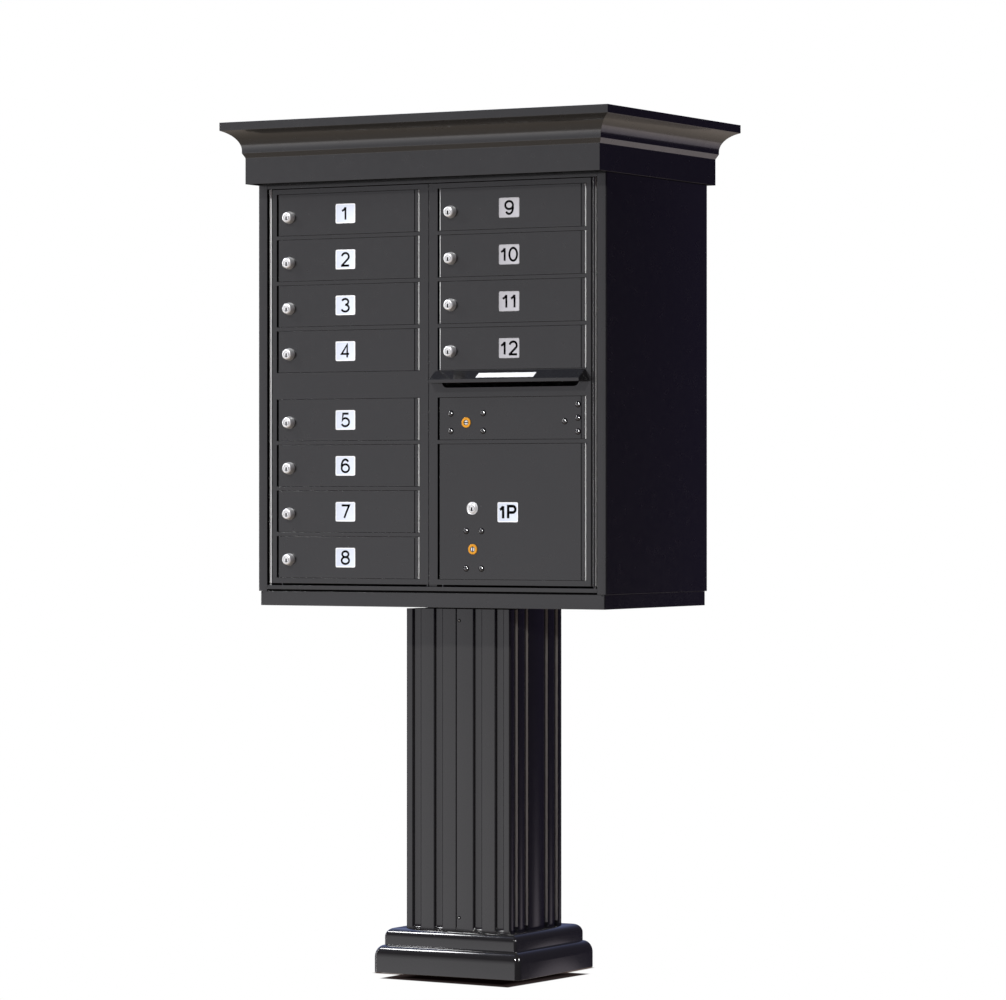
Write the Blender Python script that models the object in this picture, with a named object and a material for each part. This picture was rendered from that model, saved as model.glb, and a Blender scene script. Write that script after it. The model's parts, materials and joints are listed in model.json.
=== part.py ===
"""Cluster mailbox unit: a pedestal-mounted cabinet with twelve locked tenant
compartments, one parcel compartment, an outgoing-mail slot with its access
door, a crown-moulding cap and a fluted pillar over the steel pedestal.

Units are metres, +Z is up, the doors face -Y and the origin is the centre of
the pedestal's base plate, on the ground. Heights inside the cabinet are counted
from the cabinet's bottom edge, and depths from the plane of the door faces.
"""
import math

import bmesh
import bpy
from mathutils import Matrix, Vector

# Overall sizes
CABINET_WIDTH = 0.7747
CABINET_DEPTH = 0.419
CABINET_BOTTOM = 0.716
PEDESTAL_SETBACK = 0.216
SHEET = 0.0018
GAP = 0.0003

# Crown-moulding cap: heights above the cabinet's bottom, offsets out from the frieze
CROWN_FRIEZE_BOTTOM = 0.8239
CROWN_BEAD_BOTTOM = 0.8750
CROWN_BEAD_TOP = 0.8846
CROWN_COVE_BOTTOM = 0.8892
CROWN_SLAB_BOTTOM = 0.9275
CROWN_TOP = 0.9435
CROWN_BEAD_OUT = 0.0051
CROWN_SLAB_OUT = 0.0368
CROWN_FRONT_OVERHANG = 0.0384
CROWN_SIDE_OVERHANG = 0.0060
CROWN_BACK_OVERHANG = 0.0239
CROWN_WALL = 0.0022
CROWN_LEDGE = 0.0300
COVE_FLATNESS = 0.0200
COVE_STEPS = 7

# Cabinet shell
WRAP_BOTTOM = 0.0280
WRAP_TOP = 0.8450
FLANGE_INNER = 0.3672
SKIRT_TOP = 0.0277
SKIRT_SIDE_INSET = 0.0040
SKIRT_FRONT_INSET = 0.0015
FLOOR_THICKNESS = 0.0030
ROOF_BOTTOM = 0.8412
FRAME_DEPTH = 0.0220
JAMB_DEPTH = 0.0140
JAMB_REVEAL = 0.0045
MULLION_FRONT = 0.0165
JOINT_STEP = 0.0010
SILL_BOTTOM = 0.0317
SILL_TOP = 0.0396
HEADER_BOTTOM = 0.8154
MULLION_HALF = 0.0090

# Master doors
MASTER_BOTTOM = 0.0437
MASTER_TOP = 0.8138
MASTER_THICKNESS = 0.0127
MASTER_BARREL = 0.00365
MASTER_GROOVE = 0.0026
MASTER_GROOVE_WIDTH = 0.0100
MASTER_HEEL = (0.0090, 0.0030)
MASTER_EDGE = 0.3640
MASTER_MEETING_GAP = 0.0004
MASTER_PIN = 0.0018
MASTER_PIN_LENGTH = 0.0095

# Compartment grid
PITCH = 0.0891
RAIL = 0.0075
TOP_OPENING_TOP = 0.8040
OPENING_WIDTH = 0.3249
CENTRE_STILE = 0.0199
DOOR_CLEARANCE = 0.0005
DOOR_LEFT_GAP = 0.0045
DOOR_PLATE_RIGHT = 0.3127
DOOR_THICKNESS = 0.0040
DOOR_BARREL = 0.0023
DOOR_BARREL_CENTRE = 0.3222
DOOR_GROOVE = 0.0016
DOOR_PIN = 0.0012
DOOR_PIN_LENGTH = 0.0030
RACK_FRONT = 0.0240
RACK_BACK = 0.4100
RACK_WALL = 0.0020
RACK_MARGIN = 0.0035

# Outgoing-mail slot and its hood
SLOT_LEFT = 0.0297
SLOT_RIGHT = 0.3279
SLOT_BOTTOM = 0.4218
SLOT_TOP = 0.4460
SLOT_RADIUS = 0.0110
HOOD_LEFT = 0.0145
HOOD_RIGHT = 0.3415
HOOD_FLARE = 0.0100
HOOD_REACH = 0.0255
HOOD_BACK_TOP = 0.4540
HOOD_FRONT_TOP = 0.4370
HOOD_BOTTOM = 0.4303
HOOD_SHEET = 0.0020

# Locks
TENANT_LOCK_INSET = 0.0292
TENANT_LOCK_DROP = 0.0048
COLLAR_RADIUS = 0.0122
COLLAR_FRONT_RADIUS = 0.0105
COLLAR_REACH = 0.0127
HOUSING_RADIUS = 0.0093
HOUSING_END = 0.0130
PLUG_RADIUS = 0.0055
CAM_THICKNESS = 0.0020
CAM_HALF_WIDTH = 0.0060
CAM_REACH = 0.0345
PARCEL_LOCK = (0.0968, 0.1907)
PARCEL_COLLAR_REACH = 0.0035
PARCEL_CAM_REACH = 0.0820
PARCEL_CARRIER_LOCK = (0.0978, 0.1122)
ACCESS_CARRIER_LOCK = (0.0834, 0.3545)
CARRIER_NOSE_RADIUS = 0.0106
CARRIER_NOSE_REACH = 0.0015
CARRIER_PLUG_RADIUS = 0.0045
CASE_END = 0.0130
CRANK_DISC = 0.0105
CRANK_OFFSET = 0.0060
CRANK_PIN = 0.0015
BOLT_FRONT = 0.0153
BOLT_THICKNESS = 0.0030
KEY_SLOT = (0.0016, 0.0064, 0.0020)
BOLT_SPAN = (-0.0150, 0.0070)
BOLT_TIP_REACH = 0.0045
BOLT_TAIL = 0.0055
BOLT_TRACK = (-0.0110, -0.0033)
BOLT_TRACK_HALF = 0.0022
GUIDE_HEIGHT = 0.0037
GUIDE_SPAN = (-0.0220, -0.0135)
ACCESS_CASE = (-0.042, 0.046, -0.022, 0.022)
PARCEL_CASE = (-0.023, 0.027, -0.044, 0.043)

# Carriage-bolt heads on the carrier-serviced doors, as (x, height) places
BOLT_HEAD_RADIUS = 0.0052
BOLT_HEAD_RISE = 0.0024
ACCESS_BOLT_HEADS = (
    (0.0491, 0.3721), (0.0491, 0.3385), (0.1206, 0.3721), (0.1206, 0.3385),
    (0.2977, 0.3554), (0.3263, 0.3872), (0.3263, 0.3616), (0.3263, 0.3357),
)
PARCEL_BOLT_HEADS = ((0.0831, 0.1471), (0.1166, 0.1471), (0.0831, 0.0754), (0.1166, 0.0754))

# Pedestal, pillar cover and base trim
POST_WIDTH = 0.1016
POST_WALL = 0.0032
BASE_PLATE = (0.280, 0.270, 0.010)
TOP_PLATE = (0.254, 0.254, 0.006)
ANCHOR_SPACING = (0.216, 0.206)
ANCHOR_HOLE_RADIUS = 0.0080
PILLAR_HALF = (0.1167, 0.1041)
PILLAR_TOP = 0.7105
PILLAR_WALL = 0.0025
PILLAR_CORNER = 0.0035
PILLAR_SEAM = 0.0035
FLUTE_DEPTH = 0.0060
FRONT_FLUTES = (0.0439, 0.0925)
FRONT_FLUTE_HALF = 0.0102
SIDE_FLUTES = (0.0395, 0.0805)
SIDE_FLUTE_HALF = 0.0055
BASE_HALF = (0.1632, 0.1532)
BASE_CORNER = 0.0105
BASE_CORNER_TAPER = 0.35
BASE_WALL = 0.0080
BASE_CLEARANCE = 0.0010
BASE_LOWER_RISE = 0.0305
BASE_STEP_TOP = 0.0540
BASE_UPPER_RISE = 0.0700
BASE_TOP = 0.0870
BASE_STEP_IN = 0.0160
BASE_TOP_IN = 0.0330
BASE_ROUND_STEPS = 3

CUT_PAST = 0.0020
JOIN_OVERLAP = 0.0010
HOOD_CUT_DROP = 0.0050
ROUND = 16
SMALL_ROUND = 8
SHARP_ANGLE = math.radians(35)
PAINT = ((0.045, 0.045, 0.048, 1.0), 0.45, 0.35)
BARE_METAL = ((0.62, 0.62, 0.64, 1.0), 1.0, 0.30)
STEEL = ((0.30, 0.31, 0.32, 1.0), 1.0, 0.45)
GOLD = ((0.75, 0.38, 0.04, 1.0), 0.8, 0.35)


def depth(distance):
    """World Y of a plane this far behind the door faces."""
    return distance - PEDESTAL_SETBACK


def height(distance):
    """World Z of a level this far above the cabinet's bottom."""
    return CABINET_BOTTOM + distance


def clear_scene():
    for item in list(bpy.data.objects):
        bpy.data.objects.remove(item, do_unlink=True)


def make_material(name, finish):
    colour, metallic, roughness = finish
    material = bpy.data.materials.new(name)
    material.use_nodes = True
    shader = material.node_tree.nodes["Principled BSDF"]
    shader.inputs["Base Color"].default_value = colour
    shader.inputs["Metallic"].default_value = metallic
    shader.inputs["Roughness"].default_value = roughness
    material.diffuse_color = colour
    return material


# ---------------------------------------------------------------- solid builders

def add_block(bm, low, high):
    """An axis-aligned box between two corners."""
    low, high = Vector(low), Vector(high)
    place = Matrix.Translation((low + high) / 2) @ Matrix.Diagonal((*(high - low), 1.0))
    bmesh.ops.create_cube(bm, size=1.0, matrix=place)


def add_prism(bm, outline, start, end, axis):
    """Extrudes a closed outline along Y or Z, from start to end."""
    order = {"Y": (0, 2, 1), "Z": (0, 1, 2)}[axis]

    def ring(level):
        corners = [(a, b, level) for a, b in outline]
        return [bm.verts.new([corner[index] for index in order]) for corner in corners]

    near, far = ring(start), ring(end)
    bm.faces.new(near)
    bm.faces.new(far)
    for index in range(len(outline)):
        following = (index + 1) % len(outline)
        bm.faces.new((near[index], near[following], far[following], far[index]))


def add_loft(bm, rings, closed=False):
    """Joins rings of equal point count; a closed loft is a ring-shaped tube."""
    loops = [[bm.verts.new(point) for point in ring] for ring in rings]
    pairs = list(zip(loops, loops[1:]))
    if closed:
        pairs.append((loops[-1], loops[0]))
    else:
        bm.faces.new(loops[0])
        bm.faces.new(loops[-1])
    for lower, upper in pairs:
        for index in range(len(lower)):
            following = (index + 1) % len(lower)
            bm.faces.new((lower[index], lower[following], upper[following], upper[index]))


def turned_rings(profile, centre, axis, segments):
    """Rings of a turned shape; profile points are (radius, distance along the axis)."""
    rings = []
    for radius, along in profile:
        ring = []
        for step in range(segments):
            angle = 2 * math.pi * (step + 0.5) / segments
            across, up = radius * math.cos(angle), radius * math.sin(angle)
            offset = (across, along, up) if axis == "Y" else (across, up, along)
            ring.append(Vector(centre) + Vector(offset))
        rings.append(ring)
    return rings


def add_rod(bm, radius, centre, start, end, axis, segments=SMALL_ROUND):
    add_loft(bm, turned_rings([(radius, start), (radius, end)], centre, axis, segments))


def rounded_rectangle(half_x, half_y, radius, z, segments=2):
    """One ring of a rectangle with rounded corners, at height z."""
    ring = []
    for quarter, (side_x, side_y) in enumerate(((1, 1), (-1, 1), (-1, -1), (1, -1))):
        for step in range(segments + 1):
            angle = math.radians(90 * (quarter + step / segments))
            x = side_x * (half_x - radius) + radius * math.cos(angle)
            y = side_y * (half_y - radius) + radius * math.sin(angle)
            ring.append((x, y, z))
    return ring


def arc(centre, radius, start, end, steps):
    """Points on an arc, angles in degrees."""
    points = []
    for step in range(steps + 1):
        angle = math.radians(start + (end - start) * step / steps)
        points.append((centre[0] + radius * math.cos(angle), centre[1] + radius * math.sin(angle)))
    return points


def finish_object(name, bm, material, origin=(0.0, 0.0, 0.0)):
    """Turns world-space geometry into an object whose origin is the given point."""
    bmesh.ops.recalc_face_normals(bm, faces=bm.faces)
    bmesh.ops.translate(bm, verts=bm.verts, vec=-Vector(origin))
    mesh = bpy.data.meshes.new(name)
    bm.to_mesh(mesh)
    bm.free()
    mesh.materials.append(material)
    item = bpy.data.objects.new(name, mesh)
    item.location = origin
    bpy.context.scene.collection.objects.link(item)
    mesh.shade_smooth()
    mesh.set_sharp_from_angle(angle=SHARP_ANGLE)
    return item


def combine(item, tool_bm, operation):
    """Cuts or joins the tool's solids into the object and keeps the plain result."""
    tool = finish_object("tool", tool_bm, item.data.materials[0])
    modifier = item.modifiers.new(operation.title(), "BOOLEAN")
    modifier.operation = operation
    modifier.solver = "EXACT"
    modifier.object = tool
    evaluated = item.evaluated_get(bpy.context.evaluated_depsgraph_get())
    result = bpy.data.meshes.new_from_object(evaluated)
    item.modifiers.clear()
    name, previous = item.data.name, item.data
    item.data = result
    bpy.data.meshes.remove(previous)
    result.name = name
    tool_mesh = tool.data
    bpy.data.objects.remove(tool, do_unlink=True)
    bpy.data.meshes.remove(tool_mesh)
    result.shade_smooth()
    result.set_sharp_from_angle(angle=SHARP_ANGLE)
    return item


def cut(item, tool_bm):
    return combine(item, tool_bm, "DIFFERENCE")


def join(item, tool_bm):
    return combine(item, tool_bm, "UNION")


def attach(child, parent):
    """Parents a piece without moving it."""
    bpy.context.view_layer.update()
    child.parent = parent
    child.matrix_parent_inverse = parent.matrix_world.inverted()


# ---------------------------------------------------------------- compartment grid

def column_left(column):
    """Left edge of a column's openings: column 0 is the left one, 1 the right one."""
    return -CENTRE_STILE - OPENING_WIDTH if column == 0 else CENTRE_STILE


def opening(row, rows=1):
    """Bottom and top of an opening; row counts pitches down from the top one."""
    top = TOP_OPENING_TOP - row * PITCH
    return top - rows * PITCH + RAIL, top


UPPER_ROWS = (0, 1, 2, 3)
LOWER_ROWS = (4.5, 5.5, 6.5, 7.5)
SLOT_BAND_ROW = 4
ACCESS_ROW = 4.5
PARCEL_ROW = 5.5
PARCEL_ROWS = 3


def tenant_places():
    """Door number, column and row of every tenant compartment."""
    left = [(index + 1, 0, row) for index, row in enumerate(UPPER_ROWS + LOWER_ROWS)]
    right = [(index + 9, 1, row) for index, row in enumerate(UPPER_ROWS)]
    return left + right


# ---------------------------------------------------------------- cabinet shell

def make_cabinet_wrap(paint):
    """Sides, back and the returned front flanges, folded from one sheet."""
    side, back = CABINET_WIDTH / 2, depth(CABINET_DEPTH)
    front = depth(0.0)
    inner_side, inner_back, flange_back = side - SHEET, back - SHEET, front + SHEET
    right = [(FLANGE_INNER, front), (side, front), (side, back)]
    right_inner = [(inner_side, inner_back), (inner_side, flange_back), (FLANGE_INNER, flange_back)]
    left = [(-x, y) for x, y in reversed(right)]
    left_inner = [(-x, y) for x, y in reversed(right_inner)]
    outline = right + left + left_inner + right_inner
    bm = bmesh.new()
    add_prism(bm, outline, height(WRAP_BOTTOM), height(WRAP_TOP), "Z")
    return finish_object("cabinet_wrap", bm, paint)


def make_cabinet_roof(paint):
    side = CABINET_WIDTH / 2 - SHEET - GAP
    low = (-side, depth(SHEET + GAP), height(ROOF_BOTTOM))
    high = (side, depth(CABINET_DEPTH - SHEET - GAP), height(ROOF_BOTTOM + SHEET))
    bm = bmesh.new()
    add_block(bm, low, high)
    return finish_object("cabinet_roof", bm, paint)


def make_floor_pan(paint):
    """Floor plate with the skirt that drops round it."""
    side = CABINET_WIDTH / 2 - SKIRT_SIDE_INSET
    front, back = depth(SKIRT_FRONT_INSET), depth(CABINET_DEPTH - SKIRT_FRONT_INSET)
    bm = bmesh.new()
    add_block(bm, (-side, front, height(0.0)), (side, back, height(SKIRT_TOP)))
    pan = finish_object("cabinet_floor_pan", bm, paint)
    hollow = bmesh.new()
    wall, floor = SHEET, SKIRT_TOP - FLOOR_THICKNESS
    low = (-side + wall, front + wall, height(-wall))
    high = (side - wall, back - wall, height(floor))
    add_block(hollow, low, high)
    return cut(pan, hollow)


def master_hinge_x(side):
    return side * (MASTER_EDGE - MASTER_BARREL)


def make_front_frame(paint):
    """Jambs, sill, header and centre mullion, with the master doors' pivot holes."""
    outer = CABINET_WIDTH / 2 - SHEET - GAP
    between = FLANGE_INNER - GAP
    behind = SHEET + GAP
    foot, top = SKIRT_TOP + GAP * 2, ROOF_BOTTOM - GAP * 2
    jamb_inner = MASTER_EDGE + JAMB_REVEAL
    face_back, mullion_back = FRAME_DEPTH - JOINT_STEP, FRAME_DEPTH - JOINT_STEP / 2
    bars = (
        ((-outer, behind, HEADER_BOTTOM), (outer, FRAME_DEPTH, top)),
        ((-between, 0.0, SILL_BOTTOM), (between, face_back, SILL_TOP)),
        ((-between, 0.0, HEADER_BOTTOM), (between, face_back, top)),
        ((-outer, behind, foot), (-jamb_inner, JAMB_DEPTH, top)),
        ((jamb_inner, behind, foot), (outer, JAMB_DEPTH, top)),
        ((-MULLION_HALF, MULLION_FRONT, SILL_BOTTOM + JOINT_STEP),
         (MULLION_HALF, mullion_back, top - JOINT_STEP)),
    )
    sill_low = (-outer, depth(behind), height(SILL_BOTTOM))
    sill_high = (outer, depth(FRAME_DEPTH), height(SILL_TOP))
    bm = bmesh.new()
    add_block(bm, sill_low, sill_high)
    frame = finish_object("front_frame", bm, paint)
    for low, high in bars:
        near = (low[0], depth(low[1]), height(low[2]))
        far = (high[0], depth(high[1]), height(high[2]))
        bar = bmesh.new()
        add_block(bar, near, far)
        join(frame, bar)
    holes = bmesh.new()
    pin_low = height(MASTER_BOTTOM - MASTER_PIN_LENGTH) - GAP
    pin_high = height(MASTER_TOP + MASTER_PIN_LENGTH) + GAP
    for side in (-1, 1):
        centre = (master_hinge_x(side), depth(MASTER_BARREL), 0.0)
        add_rod(holes, MASTER_PIN + GAP, centre, pin_low, height(MASTER_BOTTOM), "Z")
        add_rod(holes, MASTER_PIN + GAP, centre, height(MASTER_TOP), pin_high, "Z")
    return cut(frame, holes)


def crown_ring(offset, z):
    """Corners of the crown's rectangle at one height, offset out from the frieze."""
    side = CABINET_WIDTH / 2 + CROWN_SIDE_OVERHANG + offset
    front = depth(-CROWN_FRONT_OVERHANG - offset)
    back = depth(CABINET_DEPTH + CROWN_BACK_OVERHANG + offset)
    level = height(z)
    return [(-side, front, level), (side, front, level), (side, back, level), (-side, back, level)]


def cove_profile():
    """Concave cove as (offset, height) points: flat under the slab, upright at the bead."""
    run, rise = CROWN_SLAB_OUT - CROWN_BEAD_OUT, CROWN_SLAB_BOTTOM - CROWN_COVE_BOTTOM
    half_across = run + COVE_FLATNESS
    start = math.asin(COVE_FLATNESS / half_across)
    half_up = rise / math.cos(start)
    points = []
    for step in range(COVE_STEPS + 1):
        angle = math.pi / 2 + (start - math.pi / 2) * step / COVE_STEPS
        inset = half_across * math.sin(angle) - COVE_FLATNESS
        points.append((CROWN_SLAB_OUT - inset, CROWN_COVE_BOTTOM + half_up * math.cos(angle)))
    return points


def make_crown_cap(paint):
    """Hollow cap: plain frieze, bead, concave cove and a flat top slab."""
    rings = [crown_ring(0.0, CROWN_FRIEZE_BOTTOM), crown_ring(0.0, CROWN_BEAD_BOTTOM)]
    rings.append(crown_ring(CROWN_BEAD_OUT, CROWN_BEAD_TOP))
    rings += [crown_ring(offset, z) for offset, z in cove_profile()]
    rings.append(crown_ring(CROWN_SLAB_OUT, CROWN_TOP))
    bm = bmesh.new()
    add_loft(bm, rings)
    crown = finish_object("crown_cap", bm, paint)
    ledge_bottom = WRAP_TOP + GAP
    ledge_top = ledge_bottom + CROWN_WALL
    levels = (
        (-CROWN_WALL, CROWN_FRIEZE_BOTTOM - CROWN_WALL), (-CROWN_WALL, ledge_bottom),
        (-CROWN_LEDGE, ledge_bottom), (-CROWN_LEDGE, ledge_top),
        (-CROWN_WALL, ledge_top), (-CROWN_WALL, CROWN_TOP - CROWN_WALL),
    )
    hollow = bmesh.new()
    add_loft(hollow, [crown_ring(offset, z) for offset, z in levels])
    return cut(crown, hollow)


def rack_pockets(column):
    """Bottom and top of each pocket of a rack, between the shelves' mid-planes."""
    rows = [opening(row) for row in UPPER_ROWS]
    if column == 0:
        rows += [opening(row) for row in LOWER_ROWS]
        rows.append((opening(LOWER_ROWS[0])[1] + RAIL, opening(UPPER_ROWS[-1])[0] - RAIL))
    else:
        rows.append((opening(ACCESS_ROW)[0], opening(UPPER_ROWS[-1])[0] - RAIL))
        rows.append(opening(PARCEL_ROW, PARCEL_ROWS))
    spare = (RAIL - RACK_WALL) / 2
    return [(low - spare, high + spare) for low, high in rows]


def make_rack(name, column, paint):
    """Welded sheet rack: side walls, back and one shelf behind each rail."""
    left = column_left(column) - RACK_MARGIN
    right = column_left(column) + OPENING_WIDTH + RACK_MARGIN
    pockets = rack_pockets(column)
    lowest = min(low for low, high in pockets)
    bottom, top = SKIRT_TOP + GAP * 2, max(high for low, high in pockets) + RACK_WALL
    front, back = depth(RACK_FRONT), depth(RACK_BACK)
    bm = bmesh.new()
    add_block(bm, (left, front, height(bottom)), (right, back, height(top)))
    rack = finish_object(name, bm, paint)
    hollow = bmesh.new()
    under = (bottom + RACK_WALL, lowest - RACK_WALL)
    for low, high in pockets + [under]:
        near = (left + RACK_WALL, depth(RACK_FRONT - RACK_WALL), height(low))
        far = (right - RACK_WALL, depth(RACK_BACK - RACK_WALL), height(high))
        add_block(hollow, near, far)
    return cut(rack, hollow)


# ---------------------------------------------------------------- doors

def master_outline(side):
    """Plan outline of a master door: slab, groove and the hinge barrel on its edge."""
    hinge = MASTER_EDGE - MASTER_BARREL
    leaf = MASTER_EDGE - MASTER_GROOVE_WIDTH
    heel_depth, heel_width = MASTER_HEEL
    start = 180 + math.degrees(math.asin((MASTER_BARREL - MASTER_GROOVE) / MASTER_BARREL))
    points = [(MASTER_MEETING_GAP, 0.0), (leaf, 0.0), (leaf, MASTER_GROOVE)]
    points += arc((hinge, MASTER_BARREL), MASTER_BARREL, start, 360, 6)
    points += [(MASTER_EDGE, heel_depth), (MASTER_EDGE - heel_width, MASTER_THICKNESS)]
    points.append((MASTER_MEETING_GAP, MASTER_THICKNESS))
    return [(side * x, depth(y)) for x, y in points]


def make_master_door(name, side, holes, paint):
    """Frame of stiles and rails; holes are (low, high) box corners of its openings."""
    hinge = (master_hinge_x(side), depth(MASTER_BARREL), height(MASTER_BOTTOM))
    bm = bmesh.new()
    add_prism(bm, master_outline(side), height(MASTER_BOTTOM), height(MASTER_TOP), "Z")
    door = finish_object(name, bm, paint, hinge)
    pins = bmesh.new()
    centre = (hinge[0], hinge[1], 0.0)
    for edge, outward in ((MASTER_BOTTOM, -MASTER_PIN_LENGTH), (MASTER_TOP, MASTER_PIN_LENGTH)):
        inward = math.copysign(MASTER_PIN, -outward)
        ends = sorted((height(edge + outward), height(edge + inward)))
        add_rod(pins, MASTER_PIN, centre, *ends, "Z")
    join(door, pins)
    cutters = bmesh.new()
    column = 0 if side < 0 else 1
    left = column_left(column)
    for bottom, top in holes:
        low = (left, depth(-CUT_PAST), height(bottom))
        high = (left + OPENING_WIDTH, depth(MASTER_THICKNESS + CUT_PAST), height(top))
        add_block(cutters, low, high)
    cut(door, cutters)
    pivots = bmesh.new()
    axis = (left + DOOR_BARREL_CENTRE, depth(DOOR_BARREL), 0.0)
    spare = DOOR_PIN_LENGTH + GAP
    for group in (holes[:4], holes[4:]):
        bottom = min(low for low, high in group) - spare
        top = max(high for low, high in group) + spare
        add_rod(pivots, DOOR_PIN + GAP, axis, height(bottom), height(top), "Z")
    return cut(door, pivots)


def slot_outline():
    """Mail slot: square top corners and rounded lower corners."""
    low = arc((SLOT_LEFT + SLOT_RADIUS, SLOT_BOTTOM + SLOT_RADIUS), SLOT_RADIUS, 180, 270, 4)
    low += arc((SLOT_RIGHT - SLOT_RADIUS, SLOT_BOTTOM + SLOT_RADIUS), SLOT_RADIUS, 270, 360, 4)
    outline = low + [(SLOT_RIGHT, SLOT_TOP), (SLOT_LEFT, SLOT_TOP)]
    return [(x, height(z)) for x, z in outline]


def hood_solid(ends, back, front, back_top, front_top, bottom):
    """Wedge of the hood; ends are (x, flare) of its two gussets."""
    rings = []
    for x, flare in ends:
        corners = (
            (x, back, back_top), (x, front, front_top), (x, front, bottom), (x + flare, back, bottom))
        rings.append([(px, depth(py), height(pz)) for px, py, pz in corners])
    bm = bmesh.new()
    add_loft(bm, rings)
    bmesh.ops.triangulate(bm, faces=bm.faces)
    return bm


def make_hood(paint, parent):
    """Bent-sheet hood over the mail slot, with a flared gusset at each end."""
    rise = HOOD_BACK_TOP - HOOD_BOTTOM
    ends = ((HOOD_LEFT, -HOOD_FLARE), (HOOD_RIGHT, HOOD_FLARE))
    outer = hood_solid(ends, -GAP, -HOOD_REACH, HOOD_BACK_TOP, HOOD_FRONT_TOP, HOOD_BOTTOM)
    hood = finish_object("mail_slot_hood", outer, paint)
    slope = (HOOD_BACK_TOP - HOOD_FRONT_TOP) / (HOOD_REACH - GAP)
    drop = HOOD_SHEET * math.hypot(1.0, slope)
    flare = HOOD_FLARE * (rise + HOOD_CUT_DROP) / rise
    ends = ((HOOD_LEFT + HOOD_SHEET, -flare), (HOOD_RIGHT - HOOD_SHEET, flare))
    back_top = HOOD_BACK_TOP - drop + 2 * GAP * slope
    front_top = HOOD_FRONT_TOP + HOOD_SHEET * slope - drop
    inner = hood_solid(ends, GAP, HOOD_SHEET - HOOD_REACH, back_top, front_top, HOOD_BOTTOM - HOOD_CUT_DROP)
    cut(hood, inner)
    attach(hood, parent)
    return hood


def door_outline(left):
    """Plan outline of a small door: plate, recessed leaf and hinge barrel."""
    centre = (DOOR_BARREL_CENTRE, DOOR_BARREL)
    start = 180 + math.degrees(math.asin((DOOR_BARREL - DOOR_GROOVE) / DOOR_BARREL))
    end = 540 - math.degrees(math.asin((DOOR_THICKNESS - DOOR_BARREL) / DOOR_BARREL))
    points = [(DOOR_LEFT_GAP, 0.0), (DOOR_PLATE_RIGHT, 0.0), (DOOR_PLATE_RIGHT, DOOR_GROOVE)]
    points += arc(centre, DOOR_BARREL, start, end, 6)
    points.append((DOOR_LEFT_GAP, DOOR_THICKNESS))
    return [(left + x, depth(y)) for x, y in points]


def make_small_door(name, column, span, holes, heads, paint, parent):
    """A compartment door; holes are (x, height, radius), heads are bolt-head places."""
    left = column_left(column)
    bottom, top = span[0] + DOOR_CLEARANCE, span[1] - DOOR_CLEARANCE
    hinge = (left + DOOR_BARREL_CENTRE, depth(DOOR_BARREL), height(bottom))
    bm = bmesh.new()
    add_prism(bm, door_outline(left), height(bottom), height(top), "Z")
    door = finish_object(name, bm, paint, hinge)
    extras = bmesh.new()
    axis = (hinge[0], hinge[1], 0.0)
    reach = DOOR_PIN_LENGTH - DOOR_CLEARANCE
    add_rod(extras, DOOR_PIN, axis, height(bottom - reach), height(bottom + DOOR_PIN), "Z")
    add_rod(extras, DOOR_PIN, axis, height(top - DOOR_PIN), height(top + reach), "Z")
    dome = ((0.45, -1.0), (0.95, -0.45), (1.0, 0.25))
    for x, z in heads:
        profile = [(BOLT_HEAD_RADIUS * radius, BOLT_HEAD_RISE * along) for radius, along in dome]
        add_loft(extras, turned_rings(profile, (x, depth(0.0), height(z)), "Y", SMALL_ROUND))
    join(door, extras)
    cutters = bmesh.new()
    for x, z, radius in holes:
        past = DOOR_THICKNESS + CUT_PAST
        add_rod(cutters, radius, (x, 0.0, height(z)), depth(-CUT_PAST), depth(past), "Y", ROUND)
    cut(door, cutters)
    attach(door, parent)
    return door


# ---------------------------------------------------------------- locks

def make_lock_housing(name, place, reach, metal, parent):
    """Lock body through the door, with a tapered collar standing out of its face."""
    bore = PLUG_RADIUS + GAP
    profile = (
        (bore, -reach), (COLLAR_FRONT_RADIUS, -reach), (COLLAR_RADIUS, -GAP),
        (HOUSING_RADIUS, -GAP), (HOUSING_RADIUS, HOUSING_END), (bore, HOUSING_END),
    )
    centre = (place[0], depth(0.0), height(place[1]))
    bm = bmesh.new()
    add_loft(bm, turned_rings(profile, centre, "Y", ROUND), closed=True)
    housing = finish_object(name, bm, metal, centre)
    attach(housing, parent)
    return housing


def cam_outline(place, reach, direction):
    """Cam seen from the front: a tongue from the lock's centre, up or down."""
    x, z = place[0], height(place[1])
    half = CAM_HALF_WIDTH
    start = 0 if direction > 0 else 180
    tip = arc((x, z + direction * (reach - half)), half, start, start + 180, 5)
    hub = arc((x, z), half, start + 180, start + 360, 5)
    return tip + hub


def cut_key_slot(plug, place, face, lying):
    """Keyway in the plug's face; it lies flat when asked, or else stands upright."""
    width, length, sunk = KEY_SLOT
    half_x, half_z = (length / 2, width / 2) if lying else (width / 2, length / 2)
    slot = bmesh.new()
    low = (place[0] - half_x, depth(face) - sunk, height(place[1]) - half_z)
    high = (place[0] + half_x, depth(face) + sunk, height(place[1]) + half_z)
    add_block(slot, low, high)
    return cut(plug, slot)


def make_cam_plug(name, place, collar_reach, cam_reach, direction, metal, parent):
    """Key plug with the cam on its inner end."""
    face = GAP - collar_reach
    centre = (place[0], depth(0.0), height(place[1]))
    cam_start = HOUSING_END + GAP
    bm = bmesh.new()
    add_rod(bm, PLUG_RADIUS, centre, face, cam_start + CAM_THICKNESS / 2, "Y", ROUND)
    plug = finish_object(name, bm, metal, centre)
    cam = bmesh.new()
    outline = cam_outline(place, cam_reach, direction)
    add_prism(cam, outline, depth(cam_start), depth(cam_start + CAM_THICKNESS), "Y")
    join(plug, cam)
    cut_key_slot(plug, place, face, lying=False)
    attach(plug, parent)
    return plug


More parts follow.
